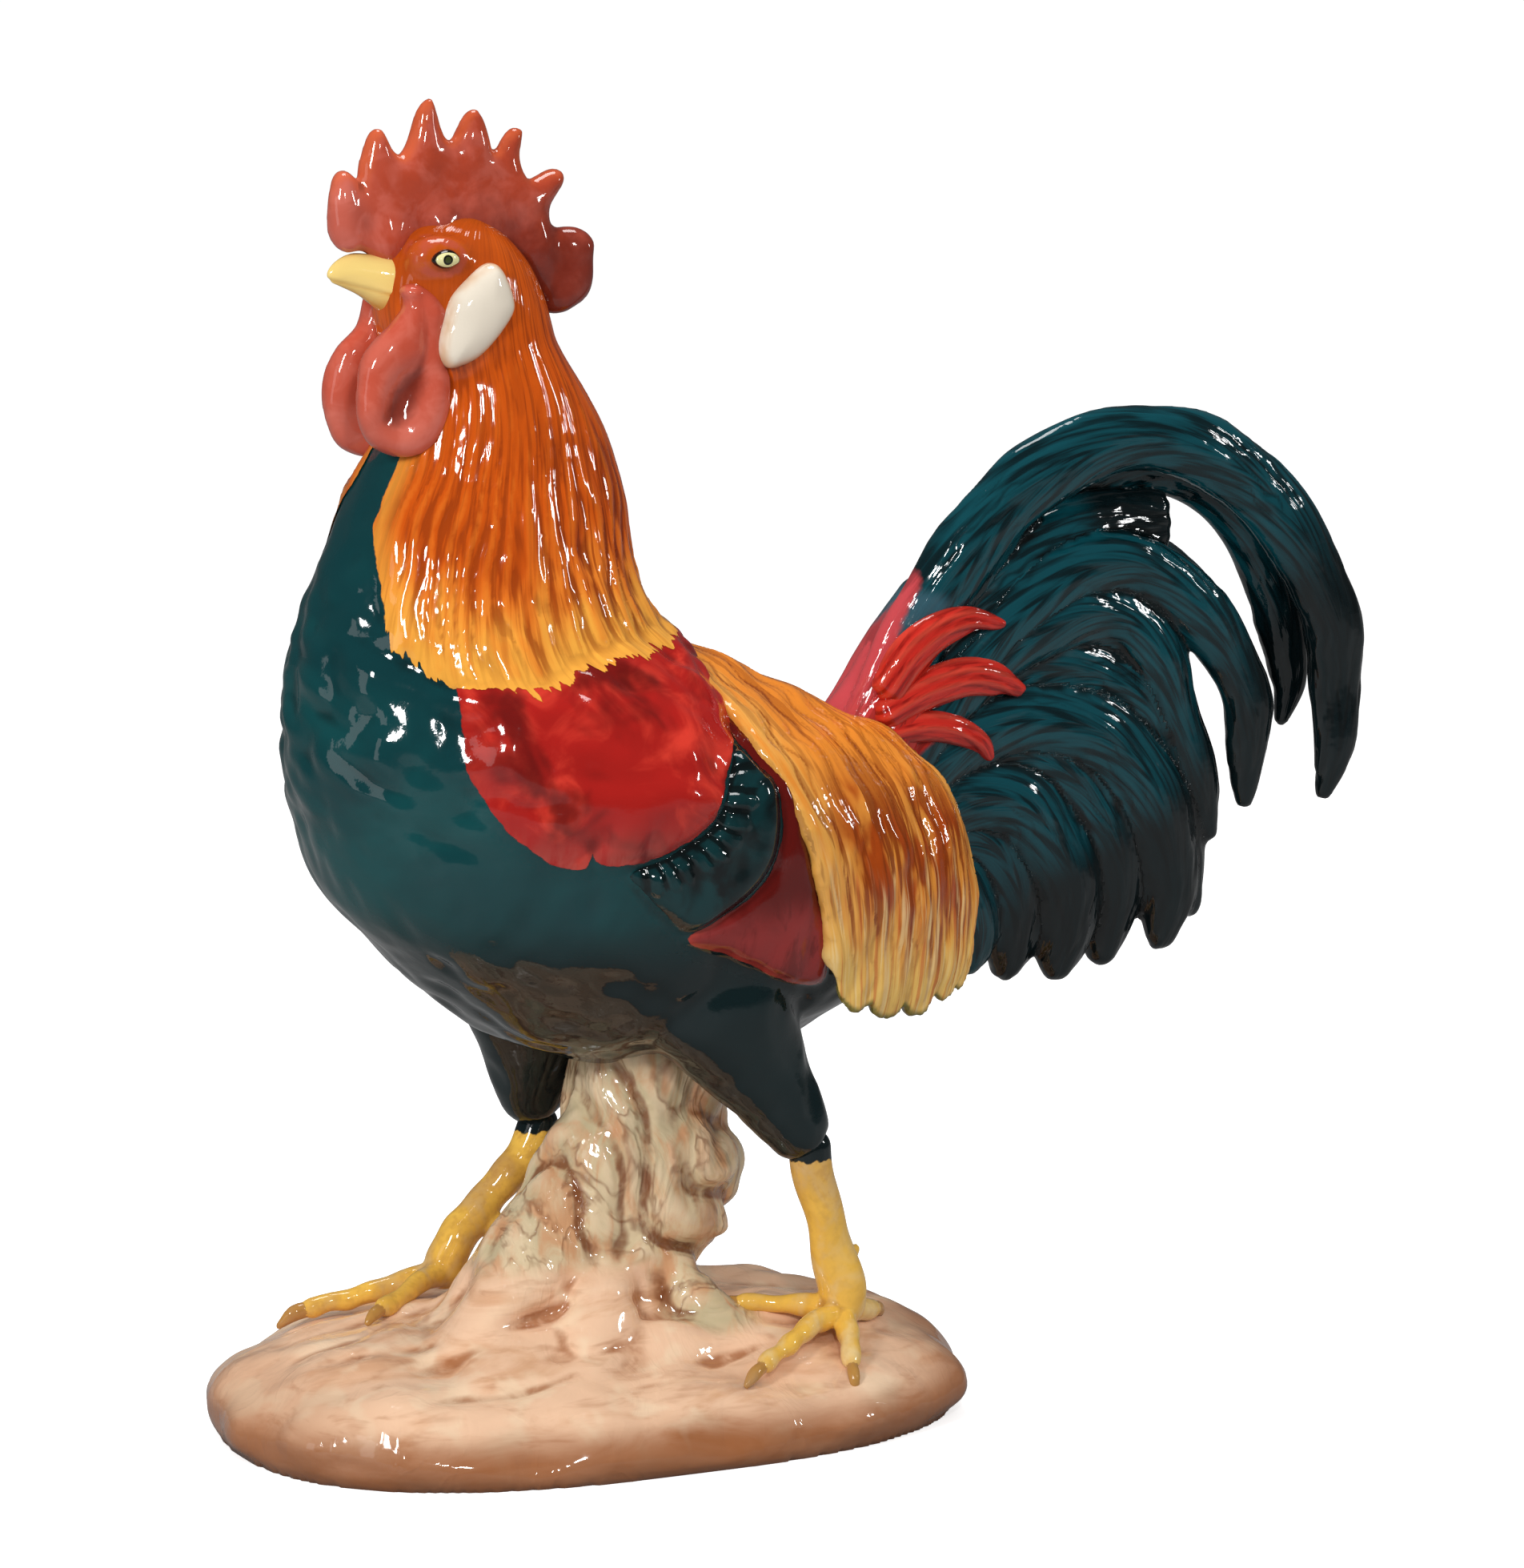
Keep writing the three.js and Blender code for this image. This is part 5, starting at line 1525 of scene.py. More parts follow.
@dataclass
class Face:
    """Comb, beak, wattles, ear lobes and eyes."""

    comb_half: float = 3.5
    wattle_half: float = 3.6
    wattle_dent: float = 2.3
    wattle_out: float = 8.8
    lobe_half: float = 4.2
    lobe_out: float = 11.0
    eye_out: float = 12.4
    eye_half: tuple[float, float] = (2.8, 1.65)
    leaf_half: float = 1.5
    lobe_rim: float = 3.0

    def build(self) -> None:
        """Builds and sets out all its pieces."""
        self._comb()
        self._beak()
        for side in Side:
            self._wattle(side)
            self._lobe(side)
            self._eye(side)

    def _leaf(self, rows: Rows, half: Callable[[Cast, Array], Array], middle: float,
              cell: float = 0.5, rounds: int = 5) -> Cast:
        """Makes a leaf of clay inside a side view outline.

        Args:
            rows: The outline.
            half: Gives its half thickness from the leaf and the depth in from its edge.
            middle: Where its middle lies across the bird.
            cell: The size of its faces.
            rounds: How often it is smoothed.

        Returns:
            The leaf, with its depth marked.
        """
        outline = Outline(rows)
        clay = Clay()
        clay.slab(outline, self.leaf_half)
        leaf = clay.fuse(cell, rounds)
        depth = outline.depth(leaf.x, leaf.z)
        leaf.marks["depth"] = depth
        places = leaf.places.copy()
        places[:, 1] = middle + leaf.y / self.leaf_half * half(leaf, depth)
        leaf.move(places)
        leaf.relax(2)
        return leaf

    def _comb(self) -> None:
        """The comb: a blade with pointed lobes and soft dents between them."""
        def half(leaf: Cast, depth: Array) -> Array:
            full = self.comb_half * (1 - 0.3 * rise(leaf.z, 216, 240))
            return full * round_rim(depth, 4.5, 0.25)

        comb = self._leaf(COMB, half, 0.0, cell=0.6)
        comb.push(Ripple(7, 21)(comb.places * (1, 0.4, 0.6)) * 0.55)
        comb.find_hollows(10)
        x, z, marks = comb.x, comb.z, comb.marks
        marks["edge"] = rise(2.2 - marks["depth"], 0, 2.2) * rise(z, 218, 232)
        marks["deep"] = rise(x, -44, -26) * (0.35 + 0.5 * rise(226 - z, 0, 14))
        # pale: rose at the front, partly a painted highlight, and at the lower back corner
        marks["pale"] = rise(-38 - x, 0, 9) + 0.6 * rise(x, -9, 0) * rise(214 - z, 0, 6)
        comb.set_out("comb_blade", FleshGlaze("comb_glaze"), "coral_glaze", ["comb"])

    def _beak(self) -> None:
        """The beak as one wedge, with the line of the mouth cut into it."""
        def half(leaf: Cast, depth: Array) -> Array:
            return (1.3 + 4.3 * rise(leaf.x, -50, -35)) * round_rim(depth, 4.0, 0.12)

        beak = self._leaf(BEAK, half, 0.0, cell=0.35, rounds=3)
        mouth = beak.z - 206.4 + (beak.x + 38) * 0.27
        beak.push(-0.28 * np.exp(-(mouth / 0.35) ** 2) - 0.25 * rise(-mouth, 0, 0.8))
        # painted shade: ochre on the lower beak, towards the face and along the mouth
        beak.marks["shade"] = (0.7 * rise(-mouth, -0.5, 3) + 0.55 * rise(beak.x, -42, -35)
                               + 0.5 * np.exp(-(mouth / 0.4) ** 2))
        beak.set_out("beak_wedge", BeakGlaze("beak_glaze"), "yellow_glaze",
                     ["beak_upper", "beak_lower"])

    def _wattle(self, side: Side) -> None:
        """A wattle with a thick rim round a hollow."""
        rows = NEAR_WATTLE if side is Side.LEFT else FAR_WATTLE
        hollow = Outline(WATTLE_HOLLOW)

        def half(leaf: Cast, depth: Array) -> Array:
            dent = rise(hollow.depth(leaf.x, leaf.z), -2.4, 3.6) * self.wattle_dent
            outer = rise(leaf.y * side.value, -0.5, 0.5)
            return self.wattle_half * round_rim(depth, 4.2, 0.2) - dent * outer

        wattle = self._leaf(rows, half, side.value * self.wattle_out)
        wattle.push(Ripple(12, 31)(wattle.places) * 0.25)
        wattle.find_hollows(8)
        wattle.marks["edge"] = np.zeros(len(wattle.x))
        wattle.marks["pale"] = 0.1 + 0.6 * rise(196 - wattle.z, 0, 14)
        outer = rise(wattle.normals[:, 1] * side.value, -0.3, 0.3)
        # painted shade: deep red in the hollow of the wattle's outer face
        wattle.marks["deep"] = 0.9 * rise(hollow.depth(wattle.x, wattle.z), -1.2, 3) * outer
        finish = FleshGlaze("wattle_glaze", coral=paint("c04e38"), rose=paint("d4705e"))
        wattle.set_out(f"wattle_{side.word}_leaf", finish, "coral_glaze", [f"wattle_{side.word}"])

    def _lobe(self, side: Side) -> None:
        """A smooth ear lobe."""
        def half(leaf: Cast, depth: Array) -> Array:
            return self.lobe_half * round_rim(depth, 5.5, 0.2)

        lobe = self._leaf(LOBE, half, side.value * self.lobe_out, cell=0.45)
        lobe.marks["depth"] /= self.lobe_rim
        lobe.set_out(f"lobe_{side.word}", LobeGlaze("lobe_glaze"), "cream_glaze",
                     [f"ear_lobe_{side.word}"])

    def _eye(self, side: Side) -> None:
        """A low almond bulge with a painted eye."""
        clay = Clay()
        x, z = EYE
        clay.limb([(x - 2.6, 0, z - 0.1, 0.6, 0.9), (x - 0.8, 0, z, 1.55, 1.5),
                   (x + 0.8, 0, z + 0.1, 1.6, 1.5), (x + 2.6, 0, z - 0.3, 0.5, 0.9)],
                  pitch=0.2, sides=40)
        eye = clay.cast()
        places = eye.places.copy()
        along, up = places[:, 0] - x, places[:, 2] - z
        eye.marks["out"] = np.hypot(along / self.eye_half[0], up / self.eye_half[1])
        eye.marks["middle"] = np.hypot(along + 0.1, up) * 1.2
        places[:, 1] += side.value * self.eye_out
        eye.move(places)
        eye.set_out(f"eye_{side.word}_painted", EyeGlaze("eye_glaze"), "eye_glaze",
                    [f"eye_{side.word}"])


@dataclass(frozen=True)
class Feather:
    """A long curved tail feather.

    Attributes:
        quill: Its middle line, x and z.
        out: Where it lies across the bird.
        half: Its half width, where it is widest.
        thick: Its half thickness, where it is thickest.
        root: How wide its root is, as a share of its middle.
        tip: How wide its tip is.
    """

    quill: Rows
    out: float
    half: float
    thick: float
    root: float
    tip: float

    def rows(self) -> Rows:
        """Its limb: places along the quill, with half width and half thickness."""
        wide = self.half * self._swell(self.root, self.tip)
        deep = self.thick * self._swell(1.1, 0.3)
        return [(x, self.out, z, *ends) for (x, z), *ends in zip(self.quill, wide, deep)]

    def _swell(self, root: float, tip: float) -> Array:
        """Shares that swell to the middle of the feather and close to its tip."""
        shape = smooth([(0, root), (0.35, 1), (0.7, 0.94), (0.9, 0.66), (1, tip)])
        return shape(np.linspace(0, 1, len(self.quill)))[:, 0]


@dataclass
class Tail:
    """The fan, the sickles and the red coverts."""

    cell: float = 0.65
    fan_half: float = 8.5
    first_half: float = 8.5 * 0.82
    fan_thick: float = 7.5
    fan_stagger: float = 1.1
    sickle_half: float = 6.7
    sickle_thick: float = 4.0
    second_shift: tuple[float, float] = (5.4, 1.0)
    covert_shift: float = 5.0
    covert_out: float = 9.6
    covert_thick: float = 2.7
    covert_taper: float = 1.6
    quills: tuple[Rows, ...] = (
        ((46, 106), (60, 118), (73, 130), (86, 138.5), (99, 143), (108.5, 141), (115, 133.5),
         (120, 122.5), (124.5, 109.5), (128.6, 97)),
        ((46, 103), (62, 116), (76, 126), (89, 132), (101, 131.5), (112.5, 125), (118.5, 113),
         (122.5, 100), (125.2, 83)),
        ((46, 100), (62, 112), (76, 121), (89, 124), (101, 121), (112, 111), (117.5, 98),
         (119, 89), (117.5, 77)),
        ((46, 98), (60, 108), (74, 116), (87, 117), (98, 111), (106, 100), (108.5, 88),
         (106.5, 75)),
        ((46, 96), (60, 104), (73, 110), (84, 109), (92, 101), (96.5, 91), (97, 82), (95, 73)),
        ((46, 94), (60, 99), (70, 103), (79, 101), (85, 93), (87, 84), (86, 73.5)),
        ((48, 92), (58, 94), (66, 96), (72, 93), (76, 86), (77, 76)),
    )
    main: Rows = (
        (54, 114), (61, 133), (69.5, 148.5), (81, 162.5), (97.5, 172.5), (115, 174.5),
        (131.5, 168), (145, 154.5), (152.5, 138), (154, 124), (153, 113), (151, 104),
    )
    far: Rows = (
        (56, 112), (65, 130), (75, 145), (88, 158.5), (103, 167), (116, 169.5), (127, 166.5),
        (136.5, 158.5), (143.5, 147), (147.5, 134.5), (148.8, 125), (147, 117.5),
    )
    second: Rows = (
        (58, 112), (72, 131), (86, 145), (98, 151.5), (108, 151.8), (116.5, 148), (123.5, 142),
        (128.5, 135.8), (132.5, 127.5), (134.2, 119.5), (134.3, 111.5), (133.5, 104),
    )
    coverts: tuple[Rows, ...] = (
        ((55, 130, 3.4), (60, 137, 4.2), (66, 141.6, 3.6), (73, 143.6, 2.6), (81, 142, 0.7)),
        ((54, 126, 2.8), (60, 129.4, 3.4), (67, 132, 3.9), (73.5, 133, 3.6), (79.5, 132, 2.9),
         (85, 129.4, 0.9)),
        ((54, 122.8, 2.4), (61, 124.4, 2.8), (67, 124.3, 3), (72, 122.8, 2.6), (76, 120.2, 1.9),
         (78.3, 117.2, 0.6)),
    )
    root: Rows = (
        (48, 0, 104, 13, 12), (57, 0, 123, 8.6, 12), (64.5, 0, 138, 7, 9.5), (72, 0, 151, 5, 7),
    )
    webs: tuple[Rows, ...] = (
        ((50, 0, 104, 12, 9), (62, 0, 124, 13, 8), (76, 0, 142, 12, 7.5), (92, 0, 153, 9, 6),
         (106, 0, 157, 7.5, 4.5), (120.5, 0, 157.5, 7, 2.6)),
        ((52, 0, 98, 14, 7.5), (70, 0, 102, 18, 6.3), (86, 0, 105, 19, 5.4), (102, 0, 110, 18, 4),
         (114, 0, 112, 8, 2)),
    )
    red_root: Rows = (
        (40, 108), (44, 124), (49, 133), (56, 144), (63.5, 153), (64, 150), (62, 146),
        (59.5, 141.5), (60, 138), (63, 135), (64, 131), (64, 126), (66, 122), (60, 118), (52, 112),
    )

    def build(self) -> None:
        """Builds the fused tail and the coverts."""
        clay = Clay("along", "across", "web")
        for feather in (*self._fan(), *self._sickles()):
            clay.limb(feather.rows(), sides=28, pitch=1.2)
        for web in self.webs:
            clay.limb(web, sides=28, pitch=1.2, marks={"web": 1.0})
        clay.limb(self.root, sides=36)
        tail = clay.fuse(self.cell, 5)
        self._barbs(tail)
        tail.set_out("tail_feathers", TailGlaze("tail_glaze", waviness=0.08), "tail_glaze", [
            "tail_fan", "main_sickle_left", "main_sickle_right", "second_sickle_left",
            "second_sickle_right"])
        for side in Side:
            for index, rows in enumerate(self.coverts):
                self._covert(side, index, rows)

    def _fan(self) -> list[Feather]:
        """The feathers of the fan, by turns a little to the left and to the right."""
        feathers = []
        for index, quill in enumerate(self.quills):
            half = self.fan_half if index else self.first_half
            out = self.fan_stagger if index % 2 else -self.fan_stagger
            feathers.append(Feather(quill, out, half, self.fan_thick, 0.75, 0.24))
        return feathers

    def _sickles(self) -> list[Feather]:
        """Two pairs of sickles, the main one and the second one of each side."""
        along, up = self.second_shift
        shifted = [(x + along, z + up) for x, z in self.second]
        return [
            Feather(quill, out, self.sickle_half * width, self.sickle_thick, root, 0.16)
            for quill, out, width, root in (
                (self.main, -4.6, 1.0, 1.25), (self.far, 4.8, 0.86, 1.1),
                (self.second, -5.2, 0.84, 0.8), (shifted, 5.2, 0.68, 0.8))
        ]

    def _barbs(self, tail: Cast) -> None:
        """Combs the feathers, and marks where the glaze is dark, with a painted shadow under the
        main sickle, a painted reflection and the red root.
        """
        along, across = tail.marks["along"], tail.marks["across"]
        wave = Ripple(7, 41)(tail.places) * 0.5
        barbs = np.sin(across / 2.9 * 2 * math.pi + along / 5 + wave * 2) * 0.16
        barbs *= 0.4 + 0.6 * rise(Ripple(22, 43)(tail.places), -0.4, 0.5)
        tail.push(barbs * rise(along, 4, 20) + Ripple(18, 42)(tail.places) * 0.35)
        tail.relax(1)
        tail.find_hollows(7)
        x, z = tail.x, tail.z
        low = rise(x - z * 0.55, 34, 84) + rise(114 - z, 0, 34) * rise(x, 62, 96)
        # painted shadow: the web under the main sickle is darker
        tail.marks["low"] = low + tail.marks["web"] * rise(x, 92, 108)
        # painted reflection: a sheen on the upper front of the tail's root
        painted_sheen = rise(x, 56, 60) * rise(74 - x, 0, 10)
        tail.marks["painted_sheen"] = painted_sheen * rise(z, 137, 143) * rise(152 - z, 0, 6)
        tail.marks["red"] = Outline(self.red_root).depth(x, z)
        # pinker towards the root of the red
        tail.marks["pink_root"] = rise(53 - x + (z - 122) * 0.53, 0, 6)

    def _covert(self, side: Side, index: int, rows: Rows) -> None:
        """A small red covert beside the tail's root."""
        clay = Clay("along", "across")
        shift = 0 if side is Side.LEFT else self.covert_shift
        taper = self.covert_taper * np.linspace(0, 1, len(rows))**2
        out, thick = self.covert_out - taper, self.covert_thick - taper
        places = [(x + shift, side.value * away, z, half, deep)
                  for (x, z, half), away, deep in zip(rows, out, thick)]
        clay.limb(places, sides=36, pitch=0.4)
        covert = clay.cast()
        covert.push(np.sin(covert.marks["across"] * 2.8 + covert.marks["along"] / 6) * 0.14)
        covert.find_hollows(4)
        name = f"tail_covert_{side.word}_{index + 1}"
        finish = CovertGlaze("covert_glaze", waviness=0.12)
        covert.set_out(f"{name}_feather", finish, "crimson_glaze", [name])


@dataclass
class Ground:
    """The mound and the tree stump, as one skin."""

    length: float = 140.0
    width: float = 95.0
    height: float = 24.0
    power: float = 2.45
    near_fall: float = 0.42
    bulge: float = 0.32
    sole: float = 0.8
    girth: float = 15.0
    depth: float = 12.5
    stump_middle: float = 7.0
    stump_foot: float = 12.0
    stump_top: float = 76.0
    vent_radius: float = 3.0
    vent_depth: float = 9.0
    vent_x: float = 26.0
    lump: float = 0.7
    cell: float = 0.9
    fall_rows: Rows = (
        (0, 0), (0.2, 0.04), (0.4, 0.09), (0.6, 0.17), (0.8, 0.29), (0.88, 0.37), (0.94, 0.47),
        (1, 0.68),
    )
    stump_rows: Rows = (
        (15, -2.8, 1.25, 1.5), (20, -2.65, 1.1, 1.35), (25, -2.3, 0.95, 1.15), (31, -1.85, 1, 1),
        (40, -1.3, 1.3, 1), (48, -0.9, 1.35, 1.02), (56, -0.6, 1.2, 1), (64, -0.45, 1.1, 1),
        (80, -0.4, 0.8, 1),
    )
    roots: tuple[Rows, ...] = (
        ((-6, -2, 38, 5, 5), (-16, -6, 28, 7, 6), (-28, -10, 20, 7, 5), (-44, -15, 14, 6, 3)),
        ((1, -3, 38, 5, 5), (-2, -10, 27, 6, 6), (-8, -20, 18, 7, 5), (-18, -32, 10, 6, 3)),
        ((10, -3, 34, 5, 5), (14, -10, 24, 6, 6), (20, -18, 16.5, 7, 5), (27, -28, 10, 6, 3)),
        ((8, 4, 36, 5, 5), (12, 14, 25, 6, 5), (19, 31, 17, 5, 3)),
    )

    def out(self, x: Array, y: Array, power: float) -> Array:
        """How far out a place is, from 0 at the middle to 1 on the mound's outline."""
        along, across = np.abs(2 * x / self.length), np.abs(2 * y / self.width)
        return (along**power + across**power) ** (1 / power)

    def top(self, x: Array, y: Array) -> Array:
        """The height of the mound's top at places."""
        out = self.out(x, y, self.power)
        inside = np.minimum(out, 1)
        near = self.near_fall * np.maximum(0, -2 * y / self.width) ** 2
        lumps = self.lump * np.sin(x / 6.5 + y / 9) * np.cos(y / 7 - x / 15) * (1 - inside**4)
        return self.height * (1 - smooth(self.fall_rows)(inside)[:, 0]) * (1 - near) + lumps

    def height_at(self, x: float, y: float) -> float:
        """The height of the mound's top at one place."""
        return float(self.top(np.array([x]), np.array([y]))[0])

    def build(self) -> None:
        """Builds and sets out the ground."""
        clay = Clay()
        self._mound(clay)
        self._stump(clay)
        ground = clay.fuse(self.cell, 6)
        self._folds(ground)
        self._underside(ground)
        ground.set_out("ground", GroundGlaze("ground_glaze", waviness=0.12), "earth_glaze",
                       ["mound_base", "tree_stump"])

    def _mound(self, clay: Clay) -> None:
        """Adds the mound."""
        rings = 40
        bulge = self.height * self.bulge * (1 - self.near_fall)

        def place(turn: Array, share: Array) -> tuple[Array, dict[str, Array]]:
            ring = share * rings
            size = np.interp(ring, [0, 1, 4, 8, 12, rings], [0, 0.955, 0.985, 1, 1, 0])
            along, across = rounded(turn, self.power)
            x, y = along * size * self.length / 2, across * size * self.width / 2
            side = np.interp(ring, [0, 1, 4, 8], [0, 0, bulge * 0.35, bulge * 0.9])
            z = np.where(ring > 9, self.top(x, y), side)
            return np.stack([x, y, z], 1), {}

        clay.wrap(place, 120, rings)

    def _stump(self, clay: Clay) -> None:
        """Adds the stump and its roots."""
        run = smooth(self.stump_rows)

        def profile(height: Array) -> Array:
            left, right, deep = run(height).T
            return np.stack([self.stump_middle + left * self.girth - 1,
                             self.stump_middle + right * self.girth + 1,
                             deep * self.depth, np.full(len(left), 2.0)], 1)

        clay.slices(profile, self.stump_foot, self.stump_top, sides=72, rings=70)
        for root in self.roots:
            clay.limb(root, across=(0, 0, 1))

    def _folds(self, ground: Cast) -> None:
        """Works the folds of bark and the dimples of earth, and marks where the paint differs."""
        places = ground.places
        x, y, z = places.T
        bark = rise(z, 23, 36)
        lean = np.stack([x * 0.7 + z * 0.6, y + z * 0.1, z * 0.7 - x * 0.35], 1)
        lean += Ripple(40, 51)(places)[:, None] * (6, 4, 4)
        drapes = np.abs(Ripple(20, 58, waves=6)(lean)) ** 0.8 * 2.2 - 1.1
        drapes += np.abs(Ripple(9, 57, waves=6)(lean)) * 0.75
        lumps = Ripple(21, 52)(places * (0.8, 1.2, 0.8)) * 0.8
        dimples = np.minimum(Ripple(8, 54)(places * (0.4, 1.2, 1.2)), -0.2) + 0.2
        earth = lumps + dimples * 0.8 * (1 - rise(self.out(x, y, 2.4), 0.75, 0.95))
        folds = drapes * bark + earth * (1 - bark) + Ripple(6, 53)(places * (1, 1, 0.6)) * 0.08
        ground.push(folds * rise(z, 0.5, 5))
        ground.relax(4)
        ground.find_hollows(9)
        x, y, z = ground.places.T
        marks = ground.marks
        patch = rise(15 - np.hypot(x - 17, y + 13), 0, 9)
        marks["stump"] = np.maximum(rise(z, 24, 40), 0.8 * patch)
        marks["low"] = rise(15 - z, 0, 11)
        ends = np.maximum(rise(x, 44, 64), 0.5 * rise(-x, 48, 66))
        marks["far"] = ends * rise(24 - z, 0, 9)

    def _underside(self, ground: Cast) -> None:
        """Flattens the underside and opens the vent in it."""
        places = ground.places.copy()
        under = places[:, 2] < self.sole
        places[under, 2] = 0.0
        vent = under & (np.hypot(places[:, 0] - self.vent_x, places[:, 1]) < self.vent_radius)
        places[vent, 2] = self.vent_depth
        places[:, 2] = np.maximum(places[:, 2], 0)
        ground.move(places)


@dataclass(frozen=True)
class Stance:
    """Where a leg's knee, its ankle and the tips of its toes are."""

    knee: tuple[float, float, float]
    ankle: tuple[float, float]
    tips: tuple[tuple[float, float], ...]


STANCES = {
    Side.LEFT: Stance((34.2, -23.0, 50.0), (41.0, -22.0),
                      ((20, -13), (14, -37.5), (35, -38.5), (52, -15))),
    Side.RIGHT: Stance((-1.4, 22.0, 49.0), (-19.5, 20.4),
                       ((-50, 26), (-40.5, 7), (-31, 37), (-6, 26))),
}


@dataclass
class Foot:
    """One shank with its toes, claws and spur."""

    side: Side
    ground: Ground
    # How much painted shade the shank has; the far leg takes more
    shade: float = 0.4
    shank: float = 3.3
    toe: float = 1.85
    feathers_end: float = 49.2
    ankle_lift: float = 5.0

    def build(self) -> None:
        """Builds and sets out the foot."""
        stance = STANCES[self.side]
        knee, ankle = stance.knee, stance.ankle
        high = self.ground.height_at(*ankle)
        clay = Clay("claw")
        low = high + self.ankle_lift
        middle = [(a + b) / 2 for a, b in zip(knee, (*ankle, low))]
        clay.limb([
            (knee[0] + (knee[0] - ankle[0]) * 0.15, knee[1], knee[2] + 5, self.shank, self.shank),
            (*knee[:2], knee[2] - 2, self.shank * 1.06, self.shank * 1.04),
            (*middle, self.shank * 1.02, self.shank * 0.98),
            (*ankle, low, self.shank * 1.18, self.shank * 1.12),
            (*ankle, low - 4.5, self.shank * 1.1, self.shank)], pitch=0.6)
        for tip in stance.tips:
            self._toe(clay, (*ankle, high), tip)
        self._spur(clay, knee, (*ankle, low))
        foot = clay.fuse(0.45, 4)
        self._scutes(foot, ankle)
        word = self.side.word
        foot.set_out(f"leg_{word}", LegGlaze("leg_glaze"), "yellow_glaze",
                     [f"shank_and_foot_{word}", f"spur_{word}"])

    def _toe(self, clay: Clay, ankle: Sequence[float], tip: Sequence[float]) -> None:
        """Adds a toe with its claw, lying on the mound."""
        def at(share: float, lift: float, half: float) -> tuple[float, ...]:
            x = ankle[0] + (tip[0] - ankle[0]) * share
            y = ankle[1] + (tip[1] - ankle[1]) * share
            return x, y, self.ground.height_at(x, y) + lift, half, half

        thin, upright = self.toe, (0, 0, 1)
        toe = [at(0, 3.6, thin * 1.4), at(0.3, thin * 1.6, thin * 1.15),
               at(0.6, thin * 1.1, thin), at(0.86, thin * 0.9, thin * 0.95)]
        claw = [at(0.82, thin * 0.9, thin * 0.8), at(0.93, thin * 0.8, thin * 0.65),
                at(1.02, thin * 0.1, 0.5)]
        clay.limb(toe, across=upright, pitch=0.5)
        clay.limb(claw, across=upright, pitch=0.4, marks={"claw": 1.0})

    def _spur(self, clay: Clay, knee: Sequence[float], ankle: Sequence[float]) -> None:
        """Adds the spur at the back of the shank."""
        x, y, z = (a * 0.28 + b * 0.72 for a, b in zip(knee, ankle))
        side = self.side.value
        clay.limb([(x, y, z, 2, 2), (x + 3.2, y - side * 1.3, z + 0.4, 1.7, 1.7),
                   (x + 6.2, y - side * 2.4, z + 1.8, 0.8, 0.8)], pitch=0.4)

    def _scutes(self, foot: Cast, ankle: Sequence[float]) -> None:
        """Works the ring folds of the shank and the joints of the toes."""
        reach = np.hypot(foot.x - ankle[0], foot.y - ankle[1])
        joints = np.sin(reach / 5.6 * 2 * math.pi) * rise(reach, 4, 8) * rise(24 - foot.z, 0, 6)
        foot.push(joints * 0.16 + Ripple(9, 61)(foot.places) * 0.22)
        foot.find_hollows(6)
        foot.marks["top"] = foot.z - self.feathers_end
        # painted shade: more on the far leg, and more higher up, under the thigh
        foot.marks["shade"] = self.shade + 0.3 * rise(foot.z, 30, 50)


@dataclass(frozen=True)
class SoftBox:
    """A lamp that faces the figurine: its place and size in millimetres, its power in watts."""

    name: str
    place: tuple[float, float, float]
    size: tuple[float, float]
    power: float


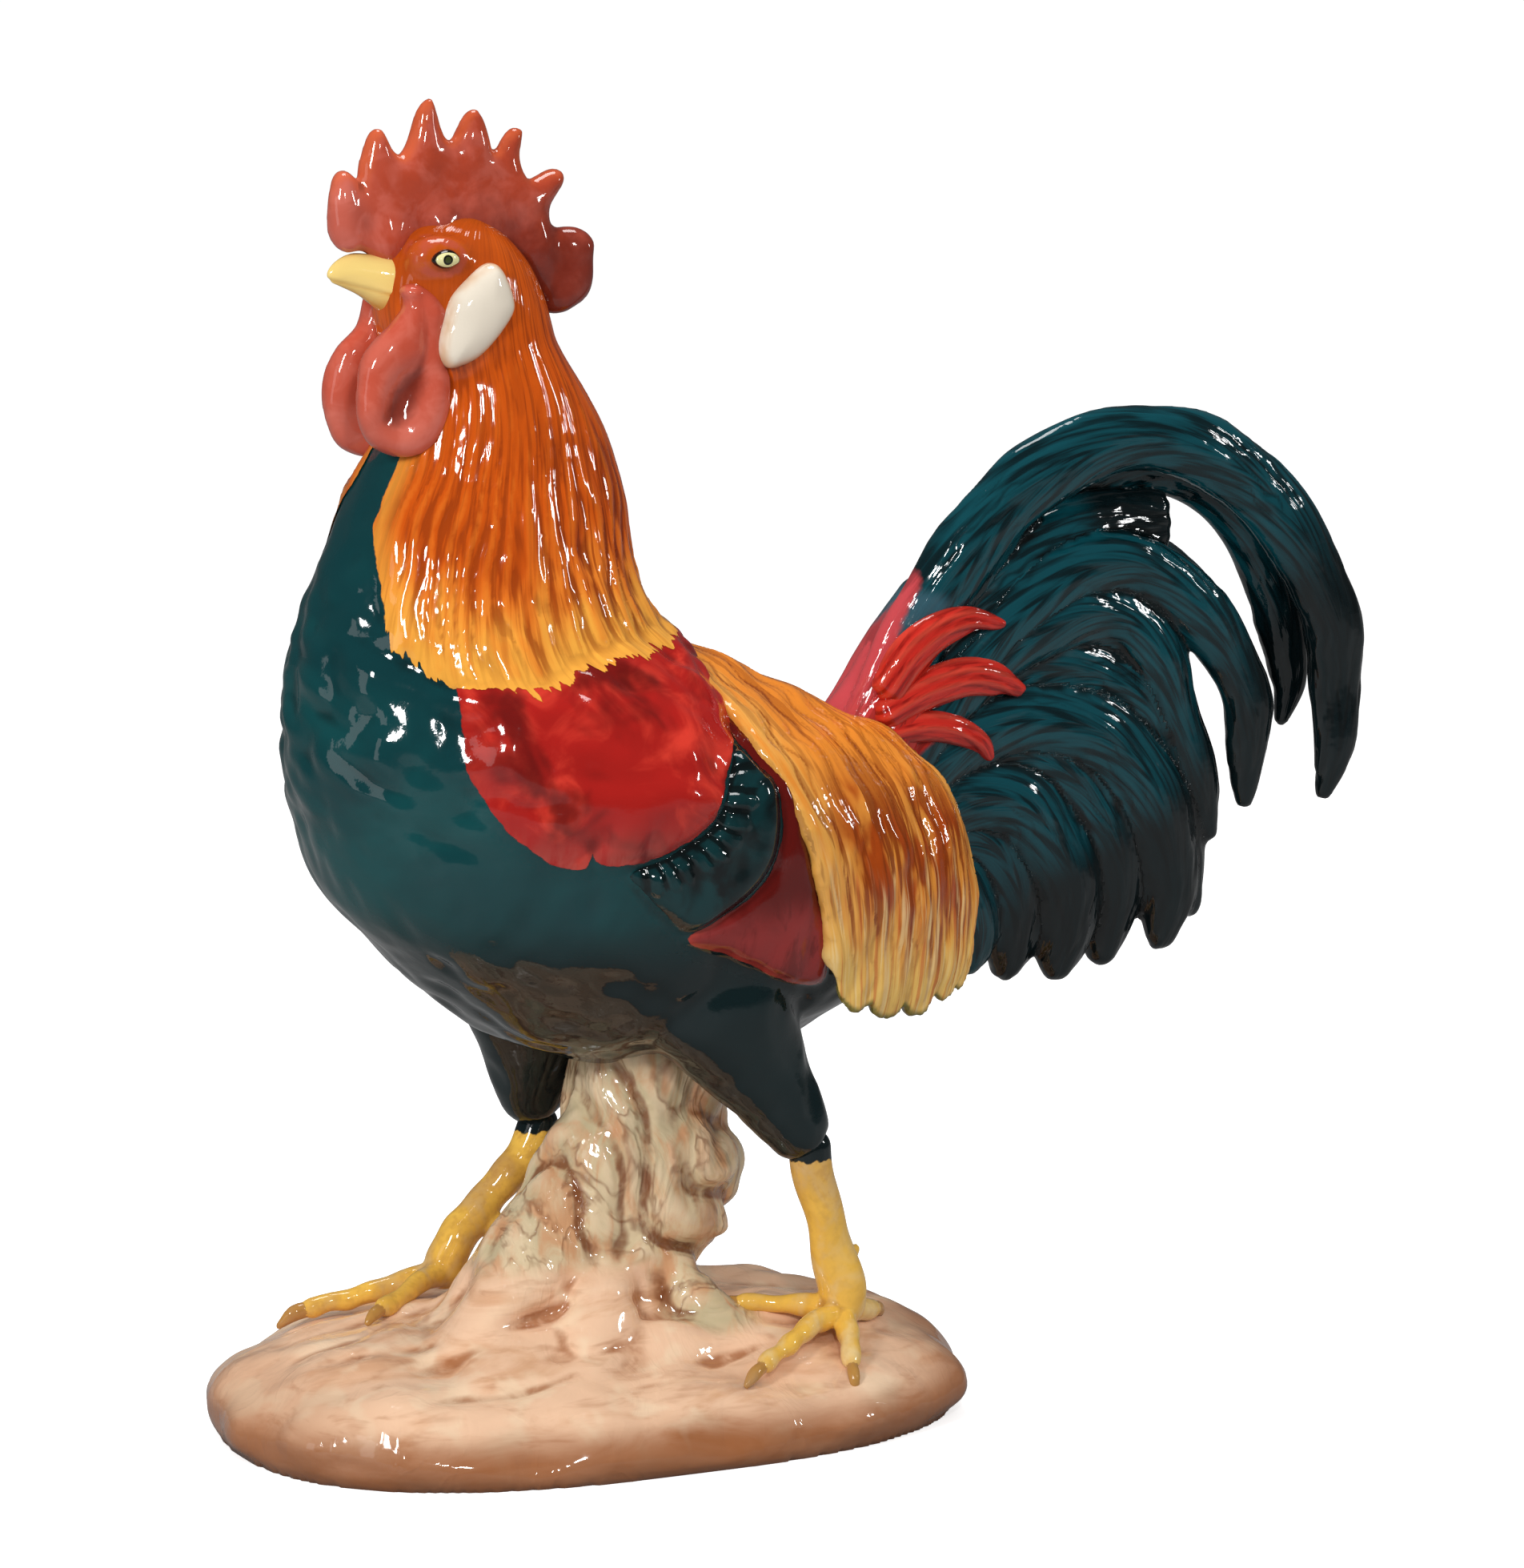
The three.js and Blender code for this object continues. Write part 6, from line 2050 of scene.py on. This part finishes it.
@dataclass
class Studio:
    """Floor, lamps, background and camera."""

    target: tuple[float, float, float] = (35.3, 0.0, 114.5)
    camera: tuple[float, float, float] = (-488.6, -1074.2, 303.8)
    lens: float = 152.4
    sensor: float = 36.0
    seen_from_to: tuple[float, float] = (0.1, 20.0)
    lit: tuple[float, float, float] = (20.0, 0.0, 110.0)
    ambient: float = 0.55
    reflected: float = 0.09
    floor_radius: float = 12.0
    floor_seen: float = 0.93
    floor_mirrored: float = 0.3
    floor_glow: float = 0.6
    floor_roughness: float = 0.6
    lamps: tuple[SoftBox, ...] = (
        SoftBox("key", (-740, -470, 560), (130, 220), 4.0),
        SoftBox("front", (-260, -860, 560), (60, 90), 1.8),
        SoftBox("side", (700, -420, 420), (60, 160), 1.2),
        SoftBox("top", (60, 160, 900), (300, 300), 2.6),
        SoftBox("strip", (-800, -160, 260), (240, 420), 0.45),
    )

    def build(self) -> None:
        """Sets up all of it."""
        self._camera()
        self._world()
        self._floor()
        for box in self.lamps:
            self._lamp(box)

    @staticmethod
    def _aim(item: bpy.types.Object, place: Sequence[float], target: Sequence[float]) -> None:
        """Sets a camera or a lamp at a place, turned to a target."""
        item.location = Vector(place) * METRE
        way = Vector(target) - Vector(place)
        item.rotation_euler = way.to_track_quat("-Z", "Y").to_euler()
        bpy.context.scene.collection.objects.link(item)

    def _camera(self) -> None:
        """The camera, fitted to the photograph."""
        data = bpy.data.cameras.new("camera")
        data.lens, data.sensor_width = self.lens, self.sensor
        data.clip_start, data.clip_end = self.seen_from_to
        camera = bpy.data.objects.new("camera", data)
        self._aim(camera, self.camera, self.target)
        bpy.context.scene.camera = camera

    def _world(self) -> None:
        """A white background that lights softly."""
        world = bpy.data.worlds.new("studio")
        world.use_nodes = True
        tree = world.node_tree
        path = tree.nodes.new("ShaderNodeLightPath")
        strength = self.ambient
        for ray, value in (("Is Glossy Ray", self.reflected), ("Is Camera Ray", 1.0)):
            mix = tree.nodes.new("ShaderNodeMix")
            mix.data_type = "FLOAT"
            tree.links.new(path.outputs[ray], mix.inputs[0])
            if isinstance(strength, float):
                mix.inputs[2].default_value = strength
            else:
                tree.links.new(strength, mix.inputs[2])
            mix.inputs[3].default_value = value
            strength = mix.outputs[0]
        shine = tree.nodes["Background"]
        shine.inputs["Color"].default_value = (1, 1, 1, 1)
        tree.links.new(strength, shine.inputs["Strength"])
        bpy.context.scene.world = world
        bpy.context.scene.view_settings.view_transform = "Standard"

    def _floor(self) -> None:
        """A white floor that takes the shadow."""
        mesh = bpy.data.meshes.new("floor")
        shape = bmesh.new()
        bmesh.ops.create_circle(shape, cap_ends=True, segments=64, radius=self.floor_radius)
        shape.to_mesh(mesh)
        shape.free()
        floor = bpy.data.objects.new("floor", mesh)
        bpy.context.scene.collection.objects.link(floor)
        bench = Bench("floor")
        seen = bench.node("ShaderNodeLightPath", {}, {}, "Is Camera Ray")
        black, mirrored, white, glow = (
            (grey, grey, grey, 1.0)
            for grey in (0.0, self.floor_mirrored, self.floor_seen, self.floor_glow)
        )
        sockets = bench.shader.inputs
        bench.join(sockets["Base Color"], bench.blend(seen, mirrored, white))
        bench.join(sockets["Roughness"], self.floor_roughness)
        bench.join(sockets["Emission Color"], bench.blend(seen, black, glow))
        bench.join(sockets["Emission Strength"], 1.0)
        mesh.materials.append(bench.material)

    def _lamp(self, box: SoftBox) -> None:
        """Adds a soft box that faces the figurine."""
        data = bpy.data.lights.new(box.name, "AREA")
        data.shape, data.energy = "RECTANGLE", box.power
        data.size, data.size_y = (side * METRE for side in box.size)
        self._aim(bpy.data.objects.new(box.name, data), box.place, self.lit)


def main() -> None:
    """Builds the figurine and the studio, and writes how large the part has become."""
    logging.basicConfig(level=logging.INFO, format="%(name)s: %(message)s")
    ground = Ground()
    left_foot = Foot(Side.LEFT, ground, shade=0.25, shank=3.65)
    right_foot = Foot(Side.RIGHT, ground, shade=0.5)
    for assembly in (Studio(), ground, Bird(), Saddle(), Face(), Tail(), left_foot, right_foot):
        assembly.build()
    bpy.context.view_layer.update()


if __name__ == "__main__":
    main()
